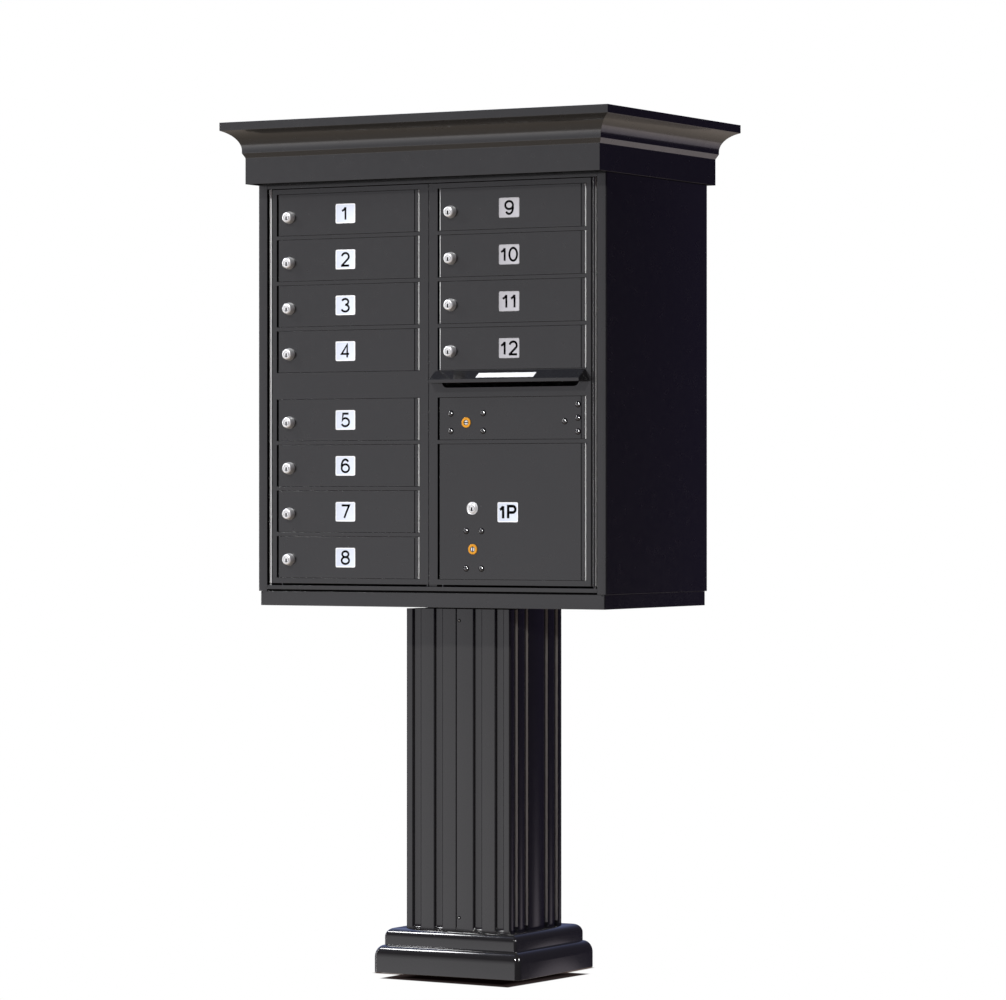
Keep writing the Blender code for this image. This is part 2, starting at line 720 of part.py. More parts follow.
def make_carrier_lock(prefix, place, case_span, lying, metals, parent):
    """Carrier lock: case with a round nose, plug with a crank pin, and its slide bolt."""
    x, z = place
    gold, steel = metals
    centre = (x, depth(0.0), height(z))
    case_front = DOOR_THICKNESS + GAP
    left, right, low, high = case_span
    bm = bmesh.new()
    near = (x + left, depth(case_front), height(z + low))
    add_block(bm, near, (x + right, depth(CASE_END), height(z + high)))
    case = finish_object(f"{prefix}_lock_case", bm, gold, centre)
    guide_end = BOLT_FRONT + BOLT_THICKNESS
    bolt_low, bolt_high = BOLT_SPAN
    extras = bmesh.new()
    over, under = (GAP, GUIDE_HEIGHT), (-GUIDE_HEIGHT, -GAP)
    for edge, (start, end) in ((bolt_high, over), (bolt_low, under)):
        near = (x + GUIDE_SPAN[0], depth(CASE_END - JOIN_OVERLAP), height(z + edge + start))
        far = (x + GUIDE_SPAN[1], depth(guide_end), height(z + edge + end))
        add_block(extras, near, far)
    nose_start = -CARRIER_NOSE_REACH
    add_rod(extras, CARRIER_NOSE_RADIUS, centre, nose_start, case_front + JOIN_OVERLAP, "Y", ROUND)
    join(case, extras)
    bore = bmesh.new()
    ends = (nose_start - JOIN_OVERLAP, CASE_END + JOIN_OVERLAP)
    add_rod(bore, CARRIER_PLUG_RADIUS + GAP, centre, *ends, "Y", ROUND)
    cut(case, bore)

    face = nose_start + GAP
    disc_start = CASE_END + GAP
    bm = bmesh.new()
    profile = (
        (CARRIER_PLUG_RADIUS, face), (CARRIER_PLUG_RADIUS, disc_start),
        (CRANK_DISC, disc_start), (CRANK_DISC, BOLT_FRONT - GAP),
    )
    add_loft(bm, turned_rings(profile, centre, "Y", ROUND))
    plug = finish_object(f"{prefix}_lock_plug", bm, steel, centre)
    pin = bmesh.new()
    pin_centre = (x + CRANK_OFFSET, depth(0.0), height(z - CRANK_OFFSET))
    add_rod(pin, CRANK_PIN, pin_centre, BOLT_FRONT - GAP * 3, guide_end, "Y")
    join(plug, pin)
    cut_key_slot(plug, place, face, lying)

    bm = bmesh.new()
    near = (CENTRE_STILE + BOLT_TIP_REACH, depth(BOLT_FRONT), height(z + bolt_low))
    far = (x + CRANK_OFFSET + BOLT_TAIL, depth(guide_end), height(z + bolt_high))
    add_block(bm, near, far)
    bolt = finish_object(f"{prefix}_bolt", bm, steel)
    track = bmesh.new()
    middle, half = x + CRANK_OFFSET, BOLT_TRACK_HALF
    near = (middle - half, depth(BOLT_FRONT - CUT_PAST), height(z + BOLT_TRACK[0]))
    far = (middle + half, depth(guide_end + CUT_PAST), height(z + BOLT_TRACK[1]))
    add_block(track, near, far)
    cut(bolt, track)
    for piece in (case, plug, bolt):
        attach(piece, parent)


# ---------------------------------------------------------------- pedestal

def make_pedestal_post(steel):
    """Square tube welded between its ground plate and the plate under the cabinet."""
    plate_x, plate_y, plate_z = (BASE_PLATE[0] / 2, BASE_PLATE[1] / 2, BASE_PLATE[2])
    top_z = height(SKIRT_TOP - FLOOR_THICKNESS) - GAP
    half = POST_WIDTH / 2
    bm = bmesh.new()
    add_block(bm, (-plate_x, -plate_y, 0.0), (plate_x, plate_y, plate_z))
    post = finish_object("pedestal_post", bm, steel)
    tube = bmesh.new()
    add_block(tube, (-half, -half, plate_z / 2), (half, half, top_z - TOP_PLATE[2] / 2))
    join(post, tube)
    cap = bmesh.new()
    cap_x, cap_y = TOP_PLATE[0] / 2, TOP_PLATE[1] / 2
    add_block(cap, (-cap_x, -cap_y, top_z - TOP_PLATE[2]), (cap_x, cap_y, top_z))
    join(post, cap)
    inside = bmesh.new()
    bore = half - POST_WALL
    add_block(inside, (-bore, -bore, plate_z), (bore, bore, top_z + POST_WALL))
    for side_x in (-1, 1):
        for side_y in (-1, 1):
            centre = (side_x * ANCHOR_SPACING[0] / 2, side_y * ANCHOR_SPACING[1] / 2, 0.0)
            add_rod(inside, ANCHOR_HOLE_RADIUS, centre, -POST_WALL, plate_z + POST_WALL, "Z", ROUND)
    return cut(post, inside)


def fluted_face(centres, half_width, inset):
    """Flutes of one face as (along, inward) points; the corners are added by the caller."""
    reach, floor = half_width + inset, FLUTE_DEPTH + inset
    points = []
    for centre in sorted([-place for place in centres] + list(centres)):
        left, right = centre - reach, centre + reach
        points += [(left, inset), (left, floor), (right, floor), (right, inset)]
    return points


def cover_path(inset, seam):
    """Left half of the pillar's plan outline, from its front seam to its back seam."""
    half_x, half_y = PILLAR_HALF
    front = [point for point in fluted_face(FRONT_FLUTES, FRONT_FLUTE_HALF, inset) if point[0] < 0]
    side = fluted_face(SIDE_FLUTES, SIDE_FLUTE_HALF, inset)
    radius = PILLAR_CORNER - inset
    corner = (-half_x + PILLAR_CORNER, half_y - PILLAR_CORNER)
    path = [(seam, -half_y + inset)]
    path += [(along, -half_y + inward) for along, inward in reversed(front)]
    path += arc((corner[0], -corner[1]), radius, 270, 180, 3)
    path += [(-half_x + inward, along) for along, inward in side]
    path += arc(corner, radius, 180, 90, 3)
    path += [(along, half_y - inward) for along, inward in front]
    path.append((seam, half_y - inset))
    return path


def make_pillar_cover(name, side, paint):
    """Half of the fluted pillar; the right half is the left one's outline mirrored."""
    seam = side * PILLAR_SEAM - GAP / 2
    outline = cover_path(0.0, seam) + list(reversed(cover_path(PILLAR_WALL, seam)))
    bm = bmesh.new()
    add_prism(bm, [(-side * x, y) for x, y in outline], BASE_PLATE[2] + GAP, PILLAR_TOP, "Z")
    return finish_object(name, bm, paint)


def base_ring(inward, z):
    radius = max(BASE_CORNER - BASE_CORNER_TAPER * inward, PILLAR_CORNER / 2)
    return rounded_rectangle(BASE_HALF[0] - inward, BASE_HALF[1] - inward, radius, z)


def make_base_trim(paint):
    """Two-tier moulded skirt round the pillar's foot."""
    rings = [base_ring(0.0, BASE_CLEARANCE)]
    tiers = (
        (0.0, BASE_LOWER_RISE, BASE_STEP_IN, BASE_STEP_TOP),
        (BASE_STEP_IN, BASE_UPPER_RISE, BASE_TOP_IN, BASE_TOP),
    )
    for inward, bottom, inward_end, top in tiers:
        for step in range(BASE_ROUND_STEPS + 1):
            angle = math.pi / 2 * step / BASE_ROUND_STEPS
            across = inward + (inward_end - inward) * (1 - math.cos(angle))
            rings.append(base_ring(across, bottom + (top - bottom) * math.sin(angle)))
    bm = bmesh.new()
    add_loft(bm, rings)
    trim = finish_object("pillar_base_trim", bm, paint)
    wall, step_in = BASE_WALL, BASE_STEP_IN + BASE_WALL
    fit_x, fit_y = PILLAR_HALF[0] + GAP, PILLAR_HALF[1] + GAP
    lower_top, upper_top = BASE_STEP_TOP - wall, BASE_TOP - wall
    levels = [base_ring(wall, -wall), base_ring(wall, lower_top)]
    levels += [base_ring(step_in, lower_top), base_ring(step_in, upper_top)]
    levels += [rounded_rectangle(fit_x, fit_y, PILLAR_CORNER / 2, z) for z in (upper_top, BASE_TOP + wall)]
    hollow = bmesh.new()
    add_loft(hollow, levels)
    return cut(trim, hollow)


# ---------------------------------------------------------------- assembly

def make_tenant_compartments(masters, paint, metal):
    """Door, lock housing and lock plug of every tenant compartment."""
    for number, column, row in tenant_places():
        span = opening(row)
        place = (column_left(column) + TENANT_LOCK_INSET, sum(span) / 2 - TENANT_LOCK_DROP)
        hole = (*place, HOUSING_RADIUS + GAP)
        door = make_small_door(f"tenant_door_{number}", column, span, [hole], (), paint, masters[column])
        make_lock_housing(f"lock_housing_{number}", place, COLLAR_REACH, metal, door)
        make_cam_plug(f"lock_plug_{number}", place, COLLAR_REACH, CAM_REACH, -1, metal, door)


def build():
    clear_scene()
    paint = make_material("powder_coat", PAINT)
    metal = make_material("nickel", BARE_METAL)
    steel = make_material("steel", STEEL)
    gold = make_material("gold", GOLD)

    make_cabinet_wrap(paint)
    make_cabinet_roof(paint)
    make_floor_pan(paint)
    make_front_frame(paint)
    make_crown_cap(paint)
    make_rack("compartment_rack_left", 0, paint)
    make_rack("compartment_rack_right", 1, paint)
    make_pedestal_post(steel)
    make_pillar_cover("pillar_cover_left", -1, paint)
    make_pillar_cover("pillar_cover_right", 1, paint)
    make_base_trim(paint)

    upper = [opening(row) for row in UPPER_ROWS]
    access_span, parcel_span = opening(ACCESS_ROW), opening(PARCEL_ROW, PARCEL_ROWS)
    left_holes = upper + [opening(row) for row in LOWER_ROWS]
    master_left = make_master_door("master_door_left", -1, left_holes, paint)
    master_right = make_master_door("master_door_right", 1, upper + [access_span, parcel_span], paint)
    slot = bmesh.new()
    add_prism(slot, slot_outline(), depth(-CUT_PAST), depth(MASTER_THICKNESS + CUT_PAST), "Y")
    cut(master_right, slot)
    make_hood(paint, master_right)
    make_tenant_compartments((master_left, master_right), paint, metal)

    nose_hole = CARRIER_NOSE_RADIUS + GAP
    metals = (gold, steel)
    holes = [(*ACCESS_CARRIER_LOCK, nose_hole)]
    access = make_small_door("access_door", 1, access_span, holes, ACCESS_BOLT_HEADS, paint, master_right)
    make_carrier_lock("access", ACCESS_CARRIER_LOCK, ACCESS_CASE, True, metals, access)
    holes = [(*PARCEL_CARRIER_LOCK, nose_hole), (*PARCEL_LOCK, HOUSING_RADIUS + GAP)]
    parcel = make_small_door("parcel_door", 1, parcel_span, holes, PARCEL_BOLT_HEADS, paint, master_right)
    make_carrier_lock("parcel_carrier", PARCEL_CARRIER_LOCK, PARCEL_CASE, False, metals, parcel)
    make_lock_housing("parcel_tenant_lock_housing", PARCEL_LOCK, PARCEL_COLLAR_REACH, metal, parcel)
    name = "parcel_tenant_lock_plug"
    make_cam_plug(name, PARCEL_LOCK, PARCEL_COLLAR_REACH, PARCEL_CAM_REACH, 1, metal, parcel)


build()
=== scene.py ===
import json
import math

import bmesh
import bpy
from mathutils import Matrix, Vector


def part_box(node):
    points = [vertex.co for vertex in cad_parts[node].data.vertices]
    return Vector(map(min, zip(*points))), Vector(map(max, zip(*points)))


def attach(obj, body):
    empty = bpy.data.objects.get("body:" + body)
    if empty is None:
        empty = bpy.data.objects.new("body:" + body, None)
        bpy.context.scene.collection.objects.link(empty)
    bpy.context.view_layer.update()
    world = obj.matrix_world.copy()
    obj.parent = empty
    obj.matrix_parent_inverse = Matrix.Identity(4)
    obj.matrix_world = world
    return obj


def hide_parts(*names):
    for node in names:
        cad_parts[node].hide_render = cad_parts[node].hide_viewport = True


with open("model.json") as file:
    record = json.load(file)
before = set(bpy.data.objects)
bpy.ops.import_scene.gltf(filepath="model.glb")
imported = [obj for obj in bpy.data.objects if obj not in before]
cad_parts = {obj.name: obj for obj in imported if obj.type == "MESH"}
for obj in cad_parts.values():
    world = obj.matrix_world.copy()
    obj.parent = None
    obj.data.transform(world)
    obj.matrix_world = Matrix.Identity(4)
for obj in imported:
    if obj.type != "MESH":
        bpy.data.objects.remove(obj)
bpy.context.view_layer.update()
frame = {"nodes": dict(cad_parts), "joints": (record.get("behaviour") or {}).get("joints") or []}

# Sheet-metal details
EDGE = 0.0004
SHARP_ANGLE = math.radians(35)
BEND_RADIUS = 0.0026
SHEET = 0.0018
FLANGE_WIDTH = 0.02015

# Crown: heights below its top, offsets in from the slab's edge
CROWN_SLAB = 0.0160
CROWN_COVE = 0.0383
CROWN_BEAD_FACE = 0.0046
CROWN_BEAD_UNDER = 0.0096
CROWN_OUT = 0.0368
CROWN_BEAD_OUT = 0.0051
CROWN_SHARP_ANGLE = math.radians(18)
COVE_FLATNESS = 0.0200
CROWN_WALL = 0.0022
CROWN_LEDGE = 0.0300
CROWN_CAVITY = 0.0214
COVE_STEPS = 20

# Seal behind the gap over the skirt, whose black is also painted shade in the gap; in depths behind the
# doors' faces
SEAL_INSET = 0.0220
SEAL_DEPTH = (0.0030, 0.0120)
SEAL_HEIGHT = 0.0030

# Floor pan
SKIRT_FLOOR = 0.0030
NOTCH_WIDTH = 0.0040
NOTCH_DROP = 0.0026
NOTCH_INSET = 0.0030

# Master doors
MASTER_BARREL = 0.00365
MASTER_GROOVE = 0.0026
MASTER_GROOVE_WIDTH = 0.0100
MASTER_THICKNESS = 0.0127
MASTER_PIN = 0.0018
MASTER_PIN_LENGTH = 0.0095

# Compartment doors
DOOR_BARREL = 0.0023
DOOR_GROOVE = 0.0016
DOOR_GROOVE_WIDTH = 0.0118
DOOR_THICKNESS = 0.0040
DOOR_PIN = 0.0012
DOOR_PIN_REACH = 0.0025
OPENING_LEFT_GAP = 0.0045
OPENING_RIGHT_GAP = 0.0004
OPENING_CLEARANCE = 0.0005
BOLT_HEAD_RADIUS = 0.0054
BOLT_HEAD_RISE = 0.0030
# Width of the painted shadow ring round each bolt head
BOLT_SHADOW_RING = 0.0007
# Painted highlight strip on the free edge of each right-column door
EDGE_HIGHLIGHT = (0.0006, 0.0015)
EDGE_HIGHLIGHT_DEPTHS = (-0.0001, 0.0020)

# Hinge barrels: painted highlight bands in a bright metal finish, as azimuths from straight ahead towards +X
BARREL_STEPS = 30
MASTER_LEFT_HIGHLIGHT_BAND = (14, 50)
MASTER_RIGHT_HIGHLIGHT_BAND = (54, 80)
DOOR_HIGHLIGHT_BAND = (2, 38)

# Mail slot
SLOT_IN_LEFT = 0.0252
SLOT_IN_RIGHT = 0.0236
SLOT_BELOW = 0.0085
SLOT_ABOVE = 0.0157
SLOT_RADIUS = 0.0110
HOOD_FLARE = 0.0100
HOOD_LIP = 0.0067
HOOD_SHEET = 0.0016

# Locks
BORE_GAP = 0.0003
COLLAR_TIP = 0.0105
COLLAR_DOME = ((0.0072, 0.0), (0.0090, 0.0007), (0.0101, 0.0018))
COLLAR_FOOT = 0.0122
HOUSING_RADIUS = 0.0093
PLUG_RADIUS = 0.0056
PLUG_GAP = 0.0001
NUT_FLATS = 0.0125
NUT_THICKNESS = 0.0042
CAM_THICKNESS = 0.0020
CAM_HALF_WIDTH = 0.0060
NOSE_RADIUS = 0.0099
NOSE_REACH = 0.0015
CARRIER_PLUG = 0.0045
KEYWAY = (0.0034, 0.0074, 0.0030)
KEYWAY_DROP = 0.0019
CARRIER_KEYWAY = (0.0020, 0.0096, 0.0030)

# Labels
LABEL_FROM_PLATE = 0.1530
LABEL_BELOW_CENTRE = 0.0005
LABEL_SIZE = (0.0445, 0.0380)
LABEL_RADIUS = 0.0030
LABEL_THICKNESS = 0.0004
PARCEL_LABEL = (0.0775, -0.0076)
DIGIT_HEIGHT = 0.0285
INK_THICKNESS = 0.00008

# Pillar
FLUTE_DEPTH = 0.0048
FLUTE_LIP = 0.0030
FLUTE_FILLET = 0.0010
FRONT_FLUTES = (0.0439, 0.0925)
FRONT_FLUTE_HALF = 0.0078
SIDE_FLUTES = (0.0395, 0.0805)
SIDE_FLUTE_HALF = 0.0064
FLUTE_FOOT = (0.0005, 0.0085)
FOOT_STEPS = 7
PILLAR_WALL = 0.0025
PILLAR_CORNER = 0.0035
PILLAR_SEAM = 0.0035
SEAM_LIP = 0.0016
SEAM_HALF_GAP = 0.00015
SCREW_RADII = (0.0013, 0.0033)
SCREW_OUT = 0.0030
SCREW_HEIGHTS = (0.111, 0.688)
BASE_CORNER = 0.0105
BASE_TIERS = ((0.0, 0.0295, 0.016, 0.053), (0.016, 0.069, 0.033, 0.086))
BASE_WALL = 0.0080

# Camera and studio
CAMERA_PLACE = (4.3917, -7.7087, 0.9254)
CAMERA_TURN = math.radians(29.44)
CAMERA_LENS = 161.74
CAMERA_SENSOR = 36.0
IMAGE_WIDTH = 1006
LENS_OFFSET = (0.45, -1.58)
FLOOR_HALF = 30.0
PANEL_PLACE = (-37, -3)
PANEL_SPREAD = (27, 21)
PANEL_SLOPE = -2.7
PANEL_COLOUR = (0.755, 0.75, 0.77)
HORIZON = (-0.12, -0.45)
FLOOR_SLOPE = -1.2
FLOOR_COLOUR = (0.25, 0.215, 0.165)
LOW_PANEL_PLACE = (151, -17)
LOW_PANEL_SPREAD = (13, 11)
LOW_PANEL_COLOUR = (0.52, 0.47, 0.51)
FILL_PLACE = (235, 45)
FILL_POWER = 6.0
FILL_COLOUR = (0.60, 0.75, 1.35)
ROOM_COLOUR = (0.030, 0.024, 0.055)
FRONT_SUN = (0, 35, 2.8, 4)
STREAK_PLACE = (-1.687, -0.969, 2.505)
STREAK_TARGET = (-0.16, -0.15, 0.06)
GLINT_PLACE = (92, 22)
BOLT_GLINT_PLACE = (18, 10)
SIDE_SUN = (45, 10, 0.45, 4)
STRIP_PLACE = (-72, 6)
STRIP_DISTANCE = 6.0
STRIP_LAMP = ((0.35, 5.0), 90.0)
STREAK_LAMP = ((0.36, 0.6), 26.0)
GLINT_LAMP = ((1.0, 1.0), 110.0)
BOLT_GLINT_LAMP = ((0.9, 0.9), 360.0)
GLINT_DISTANCE = 4.0
LAMP_TARGET = (0, 0, 0.9)
NEUTRAL = (1.0, 1.0, 1.0)
CONTACT_DISTANCE = 0.012
CONTACT_TONE = (0.10, 0.07, 0.06, 1)
LABEL_SUNK = 0.00002
LABEL_EDGE_ROUND = 0.0001
LABEL_MARGIN = 0.0016
LABEL_LEAST_RADIUS = 0.0012
FIELD_DROP = 0.00004
DIGIT_WIDTH = 0.74
DIGIT_SPACING = 0.14
ONE_WIDTH = 0.66
ONE_SHIFT = 0.2
LEFT_WEIGHT = 0.142
RIGHT_WEIGHT = 0.150
PARCEL_WEIGHT = 0.185
SHADOW_SIDES = (
    (-0.078, -0.997, 0.2403), (0.998, -0.060, 0.2131),
    (-1.0, 0.0, 0.1040), (0.0, 1.0, 0.0438),
)
SHADOW_FADE = 0.05
SHADOW_EDGE = 0.006
SHADOW_OUTER = (0.036, 0.026, 0.025, 1)
SHADOW_CORE = (0.002, 0.001, 0.001, 1)

ROUND = 48
SMALL_ROUND = 16


# ---------------------------------------------------------------- mesh builders

def add_block(bm, low, high):
    """An axis-aligned box between two corners."""
    low, high = Vector(low), Vector(high)
    place = Matrix.Translation((low + high) / 2) @ Matrix.Diagonal((*(high - low), 1.0))
    bmesh.ops.create_cube(bm, size=1.0, matrix=place)


def add_prism(bm, outline, start, end, axis):
    """Extrudes a closed outline along X, Y or Z."""
    order = {"X": (2, 0, 1), "Y": (0, 2, 1), "Z": (0, 1, 2)}[axis]

    def ring(level):
        corners = []
        for a, b in outline:
            values = (a, b, level)
            corners.append(bm.verts.new([values[index] for index in order]))
        return corners

    near, far = ring(start), ring(end)
    bm.faces.new(near)
    bm.faces.new(far)
    for index in range(len(outline)):
        following = (index + 1) % len(outline)
        bm.faces.new((near[index], near[following], far[following], far[index]))


def add_loft(bm, rings, closed=False):
    """Joins rings of equal point count; a closed loft is a ring-shaped tube."""
    loops = [[bm.verts.new(point) for point in ring] for ring in rings]
    pairs = list(zip(loops, loops[1:]))
    if closed:
        pairs.append((loops[-1], loops[0]))
    else:
        bm.faces.new(loops[0])
        bm.faces.new(loops[-1])
    for lower, upper in pairs:
        for index in range(len(lower)):
            following = (index + 1) % len(lower)
            bm.faces.new((lower[index], lower[following], upper[following], upper[index]))


def turned_rings(profile, centre, axis="Y", segments=ROUND):
    """Rings of a turned shape; profile points are (radius, distance along the axis)."""
    rings = []
    for radius, along in profile:
        ring = []
        for step in range(segments):
            angle = 2 * math.pi * (step + 0.5) / segments
            across, up = radius * math.cos(angle), radius * math.sin(angle)
            offset = (across, along, up) if axis == "Y" else (across, up, along)
            ring.append(Vector(centre) + Vector(offset))
        rings.append(ring)
    return rings


def add_rod(bm, radius, centre, start, end, axis="Y", segments=SMALL_ROUND):
    add_loft(bm, turned_rings([(radius, start), (radius, end)], centre, axis, segments))


def arc(centre, radius, start, end, steps):
    """Points on an arc, angles in degrees."""
    points = []
    for step in range(steps + 1):
        angle = math.radians(start + (end - start) * step / steps)
        points.append((centre[0] + radius * math.cos(angle), centre[1] + radius * math.sin(angle)))
    return points


def rounded_rectangle(half_x, half_y, radius, steps=6):
    """Outline of a rectangle with rounded corners, round the origin."""
    outline = []
    for quarter, (side_x, side_y) in enumerate(((1, 1), (-1, 1), (-1, -1), (1, -1))):
        centre = (side_x * (half_x - radius), side_y * (half_y - radius))
        outline += arc(centre, radius, 90 * quarter, 90 * (quarter + 1), steps)
    return outline


def make_mesh(name, bm, materials):
    bmesh.ops.recalc_face_normals(bm, faces=bm.faces)
    mesh = bpy.data.meshes.new(name)
    bm.to_mesh(mesh)
    bm.free()
    for material in materials:
        mesh.materials.append(material)
    mesh.shade_smooth()
    mesh.set_sharp_from_angle(angle=SHARP_ANGLE)
    return mesh


def make_object(name, bm, *materials):
    item = bpy.data.objects.new(name, make_mesh(name, bm, materials))
    bpy.context.scene.collection.objects.link(item)
    return item


def combine(item, tool_bm, operation):
    """Cuts or joins the tool's solids into the object and keeps the plain result."""
    tool = make_object("tool", tool_bm, *item.data.materials)
    modifier = item.modifiers.new(operation.title(), "BOOLEAN")
    modifier.operation = operation
    modifier.solver = "EXACT"
    modifier.object = tool
    evaluated = item.evaluated_get(bpy.context.evaluated_depsgraph_get())
    result = bpy.data.meshes.new_from_object(evaluated)
    item.modifiers.clear()
    name, previous = item.data.name, item.data
    item.data = result
    bpy.data.meshes.remove(previous)
    result.name = name
    tool_mesh = tool.data
    bpy.data.objects.remove(tool, do_unlink=True)
    bpy.data.meshes.remove(tool_mesh)
    result.shade_smooth()
    result.set_sharp_from_angle(angle=SHARP_ANGLE)
    return item


def cut(item, tool_bm):
    return combine(item, tool_bm, "DIFFERENCE")


def join(item, tool_bm):
    return combine(item, tool_bm, "UNION")


def soften(item, width=EDGE, segments=2):
    """Rounds the sharp edges so that they catch the light."""
    bevel = item.modifiers.new("edges", "BEVEL")
    bevel.width = width
    bevel.segments = segments
    bevel.limit_method = "ANGLE"
    bevel.angle_limit = SHARP_ANGLE
    bevel.harden_normals = True
    return item


def seat(item, body, slot, *replaced):
    """Rides the piece on its body and hides the CAD nodes it stands for; the slot argument is not used."""
    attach(item, body)
    if replaced:
        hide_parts(*replaced)
    return item


def move_origin(item, origin):
    """Puts the object's origin at a point without moving its surface."""
    item.data.transform(Matrix.Translation(-Vector(origin)))
    item.location = origin
    return item


def repeat(item, name, offset):
    """A second object that shares the first one's mesh, moved by an offset."""
    twin = bpy.data.objects.new(name, item.data)
    bpy.context.scene.collection.objects.link(twin)
    twin.location = item.location + Vector(offset)
    for modifier in item.modifiers:
        soften(twin, modifier.width, modifier.segments)
    return twin


# ---------------------------------------------------------------- materials

def add_node(tree, kind, **settings):
    node = tree.nodes.new(kind)
    for key, value in settings.items():
        setattr(node, key, value)
    return node


def noise(tree, scale, detail=2.0, seed=None):
    """A noise value in the piece's own coordinates; a seed socket varies it from piece to piece."""
    coordinates = add_node(tree, "ShaderNodeTexCoord")
    texture = add_node(tree, "ShaderNodeTexNoise", noise_dimensions="4D")
    texture.inputs["Scale"].default_value = scale
    texture.inputs["Detail"].default_value = detail
    tree.links.new(coordinates.outputs["Object"], texture.inputs["Vector"])
    if seed is not None:
        tree.links.new(seed, texture.inputs["W"])
    return texture.outputs["Fac"]


def ranged(tree, value, low, high):
    """Spreads a 0.3 to 0.7 noise value over a range."""
    spread = add_node(tree, "ShaderNodeMapRange")
    spread.inputs["From Min"].default_value = 0.3
    spread.inputs["From Max"].default_value = 0.7
    spread.inputs["To Min"].default_value = low
    spread.inputs["To Max"].default_value = high
    tree.links.new(value, spread.inputs["Value"])
    return spread.outputs["Result"]


def tinted(tree, colour, shade):
    """A colour multiplied by a shade value."""
    scaled = add_node(tree, "ShaderNodeVectorMath", operation="SCALE")
    scaled.inputs[0].default_value = colour
    tree.links.new(shade, scaled.inputs["Scale"])
    return scaled.outputs["Vector"]


def add_bump(tree, shader, value, distance, strength=1.0):
    bump = add_node(tree, "ShaderNodeBump")
    bump.inputs["Distance"].default_value = distance
    bump.inputs["Strength"].default_value = strength
    tree.links.new(value, bump.inputs["Height"])
    tree.links.new(bump.outputs["Normal"], shader.inputs["Normal"])
    return bump


def new_material(name):
    material = bpy.data.materials.new(name)
    material.use_nodes = True
    tree = material.node_tree
    return material, tree, tree.nodes["Principled BSDF"]


def math_node(tree, operation, *values):
    """A scalar operation; each input is a socket or a number."""
    node = add_node(tree, "ShaderNodeMath", operation=operation)
    for index, value in enumerate(values):
        if isinstance(value, (int, float)):
            node.inputs[index].default_value = value
        else:
            tree.links.new(value, node.inputs[index])
    return node.outputs["Value"]


def piece_seed(tree):
    """A value that differs from one object to the next."""
    info = add_node(tree, "ShaderNodeObjectInfo")
    return math_node(tree, "MULTIPLY", info.outputs["Random"], 20.0)


def powder_coat(name, colour, roughness=(0.20, 0.28), coat=0.5, coat_roughness=0.08):
    """Baked powder paint: faint mottling, orange peel and a thin gloss."""
    material, tree, shader = new_material(name)
    seed = piece_seed(tree)
    shade = ranged(tree, noise(tree, 7.0, 4.0, seed), 0.93, 1.07)
    tree.links.new(tinted(tree, colour, shade), shader.inputs["Base Color"])
    tree.links.new(ranged(tree, noise(tree, 60.0, 3.0, seed), *roughness), shader.inputs["Roughness"])
    shader.inputs["Coat Weight"].default_value = coat
    shader.inputs["Coat Roughness"].default_value = coat_roughness
    add_bump(tree, shader, noise(tree, 750.0, 2.0), 0.00003)
    return material


def turned_metal(name, colour, roughness, metallic=1.0, ring_scale=900.0):
    """Metal turned on a lathe: fine rings round the piece's own Y axis."""
    material, tree, shader = new_material(name)
    coordinates = add_node(tree, "ShaderNodeTexCoord")
    split = add_node(tree, "ShaderNodeSeparateXYZ")
    flat = add_node(tree, "ShaderNodeCombineXYZ")
    length = add_node(tree, "ShaderNodeVectorMath", operation="LENGTH")
    tree.links.new(coordinates.outputs["Object"], split.inputs["Vector"])
    tree.links.new(split.outputs["X"], flat.inputs["X"])
    tree.links.new(split.outputs["Z"], flat.inputs["Z"])
    tree.links.new(flat.outputs["Vector"], length.inputs[0])
    place = add_node(tree, "ShaderNodeCombineXYZ")
    tree.links.new(length.outputs["Value"], place.inputs["X"])
    tree.links.new(split.outputs["Y"], place.inputs["Y"])
    rings = add_node(tree, "ShaderNodeTexNoise")
    rings.inputs["Scale"].default_value = ring_scale
    rings.inputs["Detail"].default_value = 3.0
    tree.links.new(place.outputs["Vector"], rings.inputs["Vector"])
    shade = ranged(tree, noise(tree, 180.0, 2.0, piece_seed(tree)), 0.92, 1.06)
    tree.links.new(tinted(tree, colour, shade), shader.inputs["Base Color"])
    tree.links.new(ranged(tree, rings.outputs["Fac"], *roughness), shader.inputs["Roughness"])
    shader.inputs["Metallic"].default_value = metallic
    add_bump(tree, shader, rings.outputs["Fac"], 0.00002, 0.6)
    return material


def mill_sheet(name, colour, roughness, metallic, stretch):
    """Rolled sheet: soft streaks along the rolling direction and a faint cloudiness."""
    material, tree, shader = new_material(name)
    coordinates = add_node(tree, "ShaderNodeTexCoord")
    mapping = add_node(tree, "ShaderNodeMapping")
    mapping.inputs["Scale"].default_value = stretch
    tree.links.new(coordinates.outputs["Object"], mapping.inputs["Vector"])
    streaks = add_node(tree, "ShaderNodeTexNoise")
    streaks.inputs["Scale"].default_value = 60.0
    streaks.inputs["Detail"].default_value = 5.0
    tree.links.new(mapping.outputs["Vector"], streaks.inputs["Vector"])
    cloud = noise(tree, 9.0, 3.0, piece_seed(tree))
    halved = math_node(tree, "MULTIPLY", cloud, 0.5)
    mixed = math_node(tree, "MULTIPLY_ADD", streaks.outputs["Fac"], 0.5, halved)
    shade = ranged(tree, mixed, 0.86, 1.10)
    tree.links.new(tinted(tree, colour, shade), shader.inputs["Base Color"])
    tree.links.new(ranged(tree, streaks.outputs["Fac"], *roughness), shader.inputs["Roughness"])
    shader.inputs["Metallic"].default_value = metallic
    add_bump(tree, shader, streaks.outputs["Fac"], 0.00002)
    return material


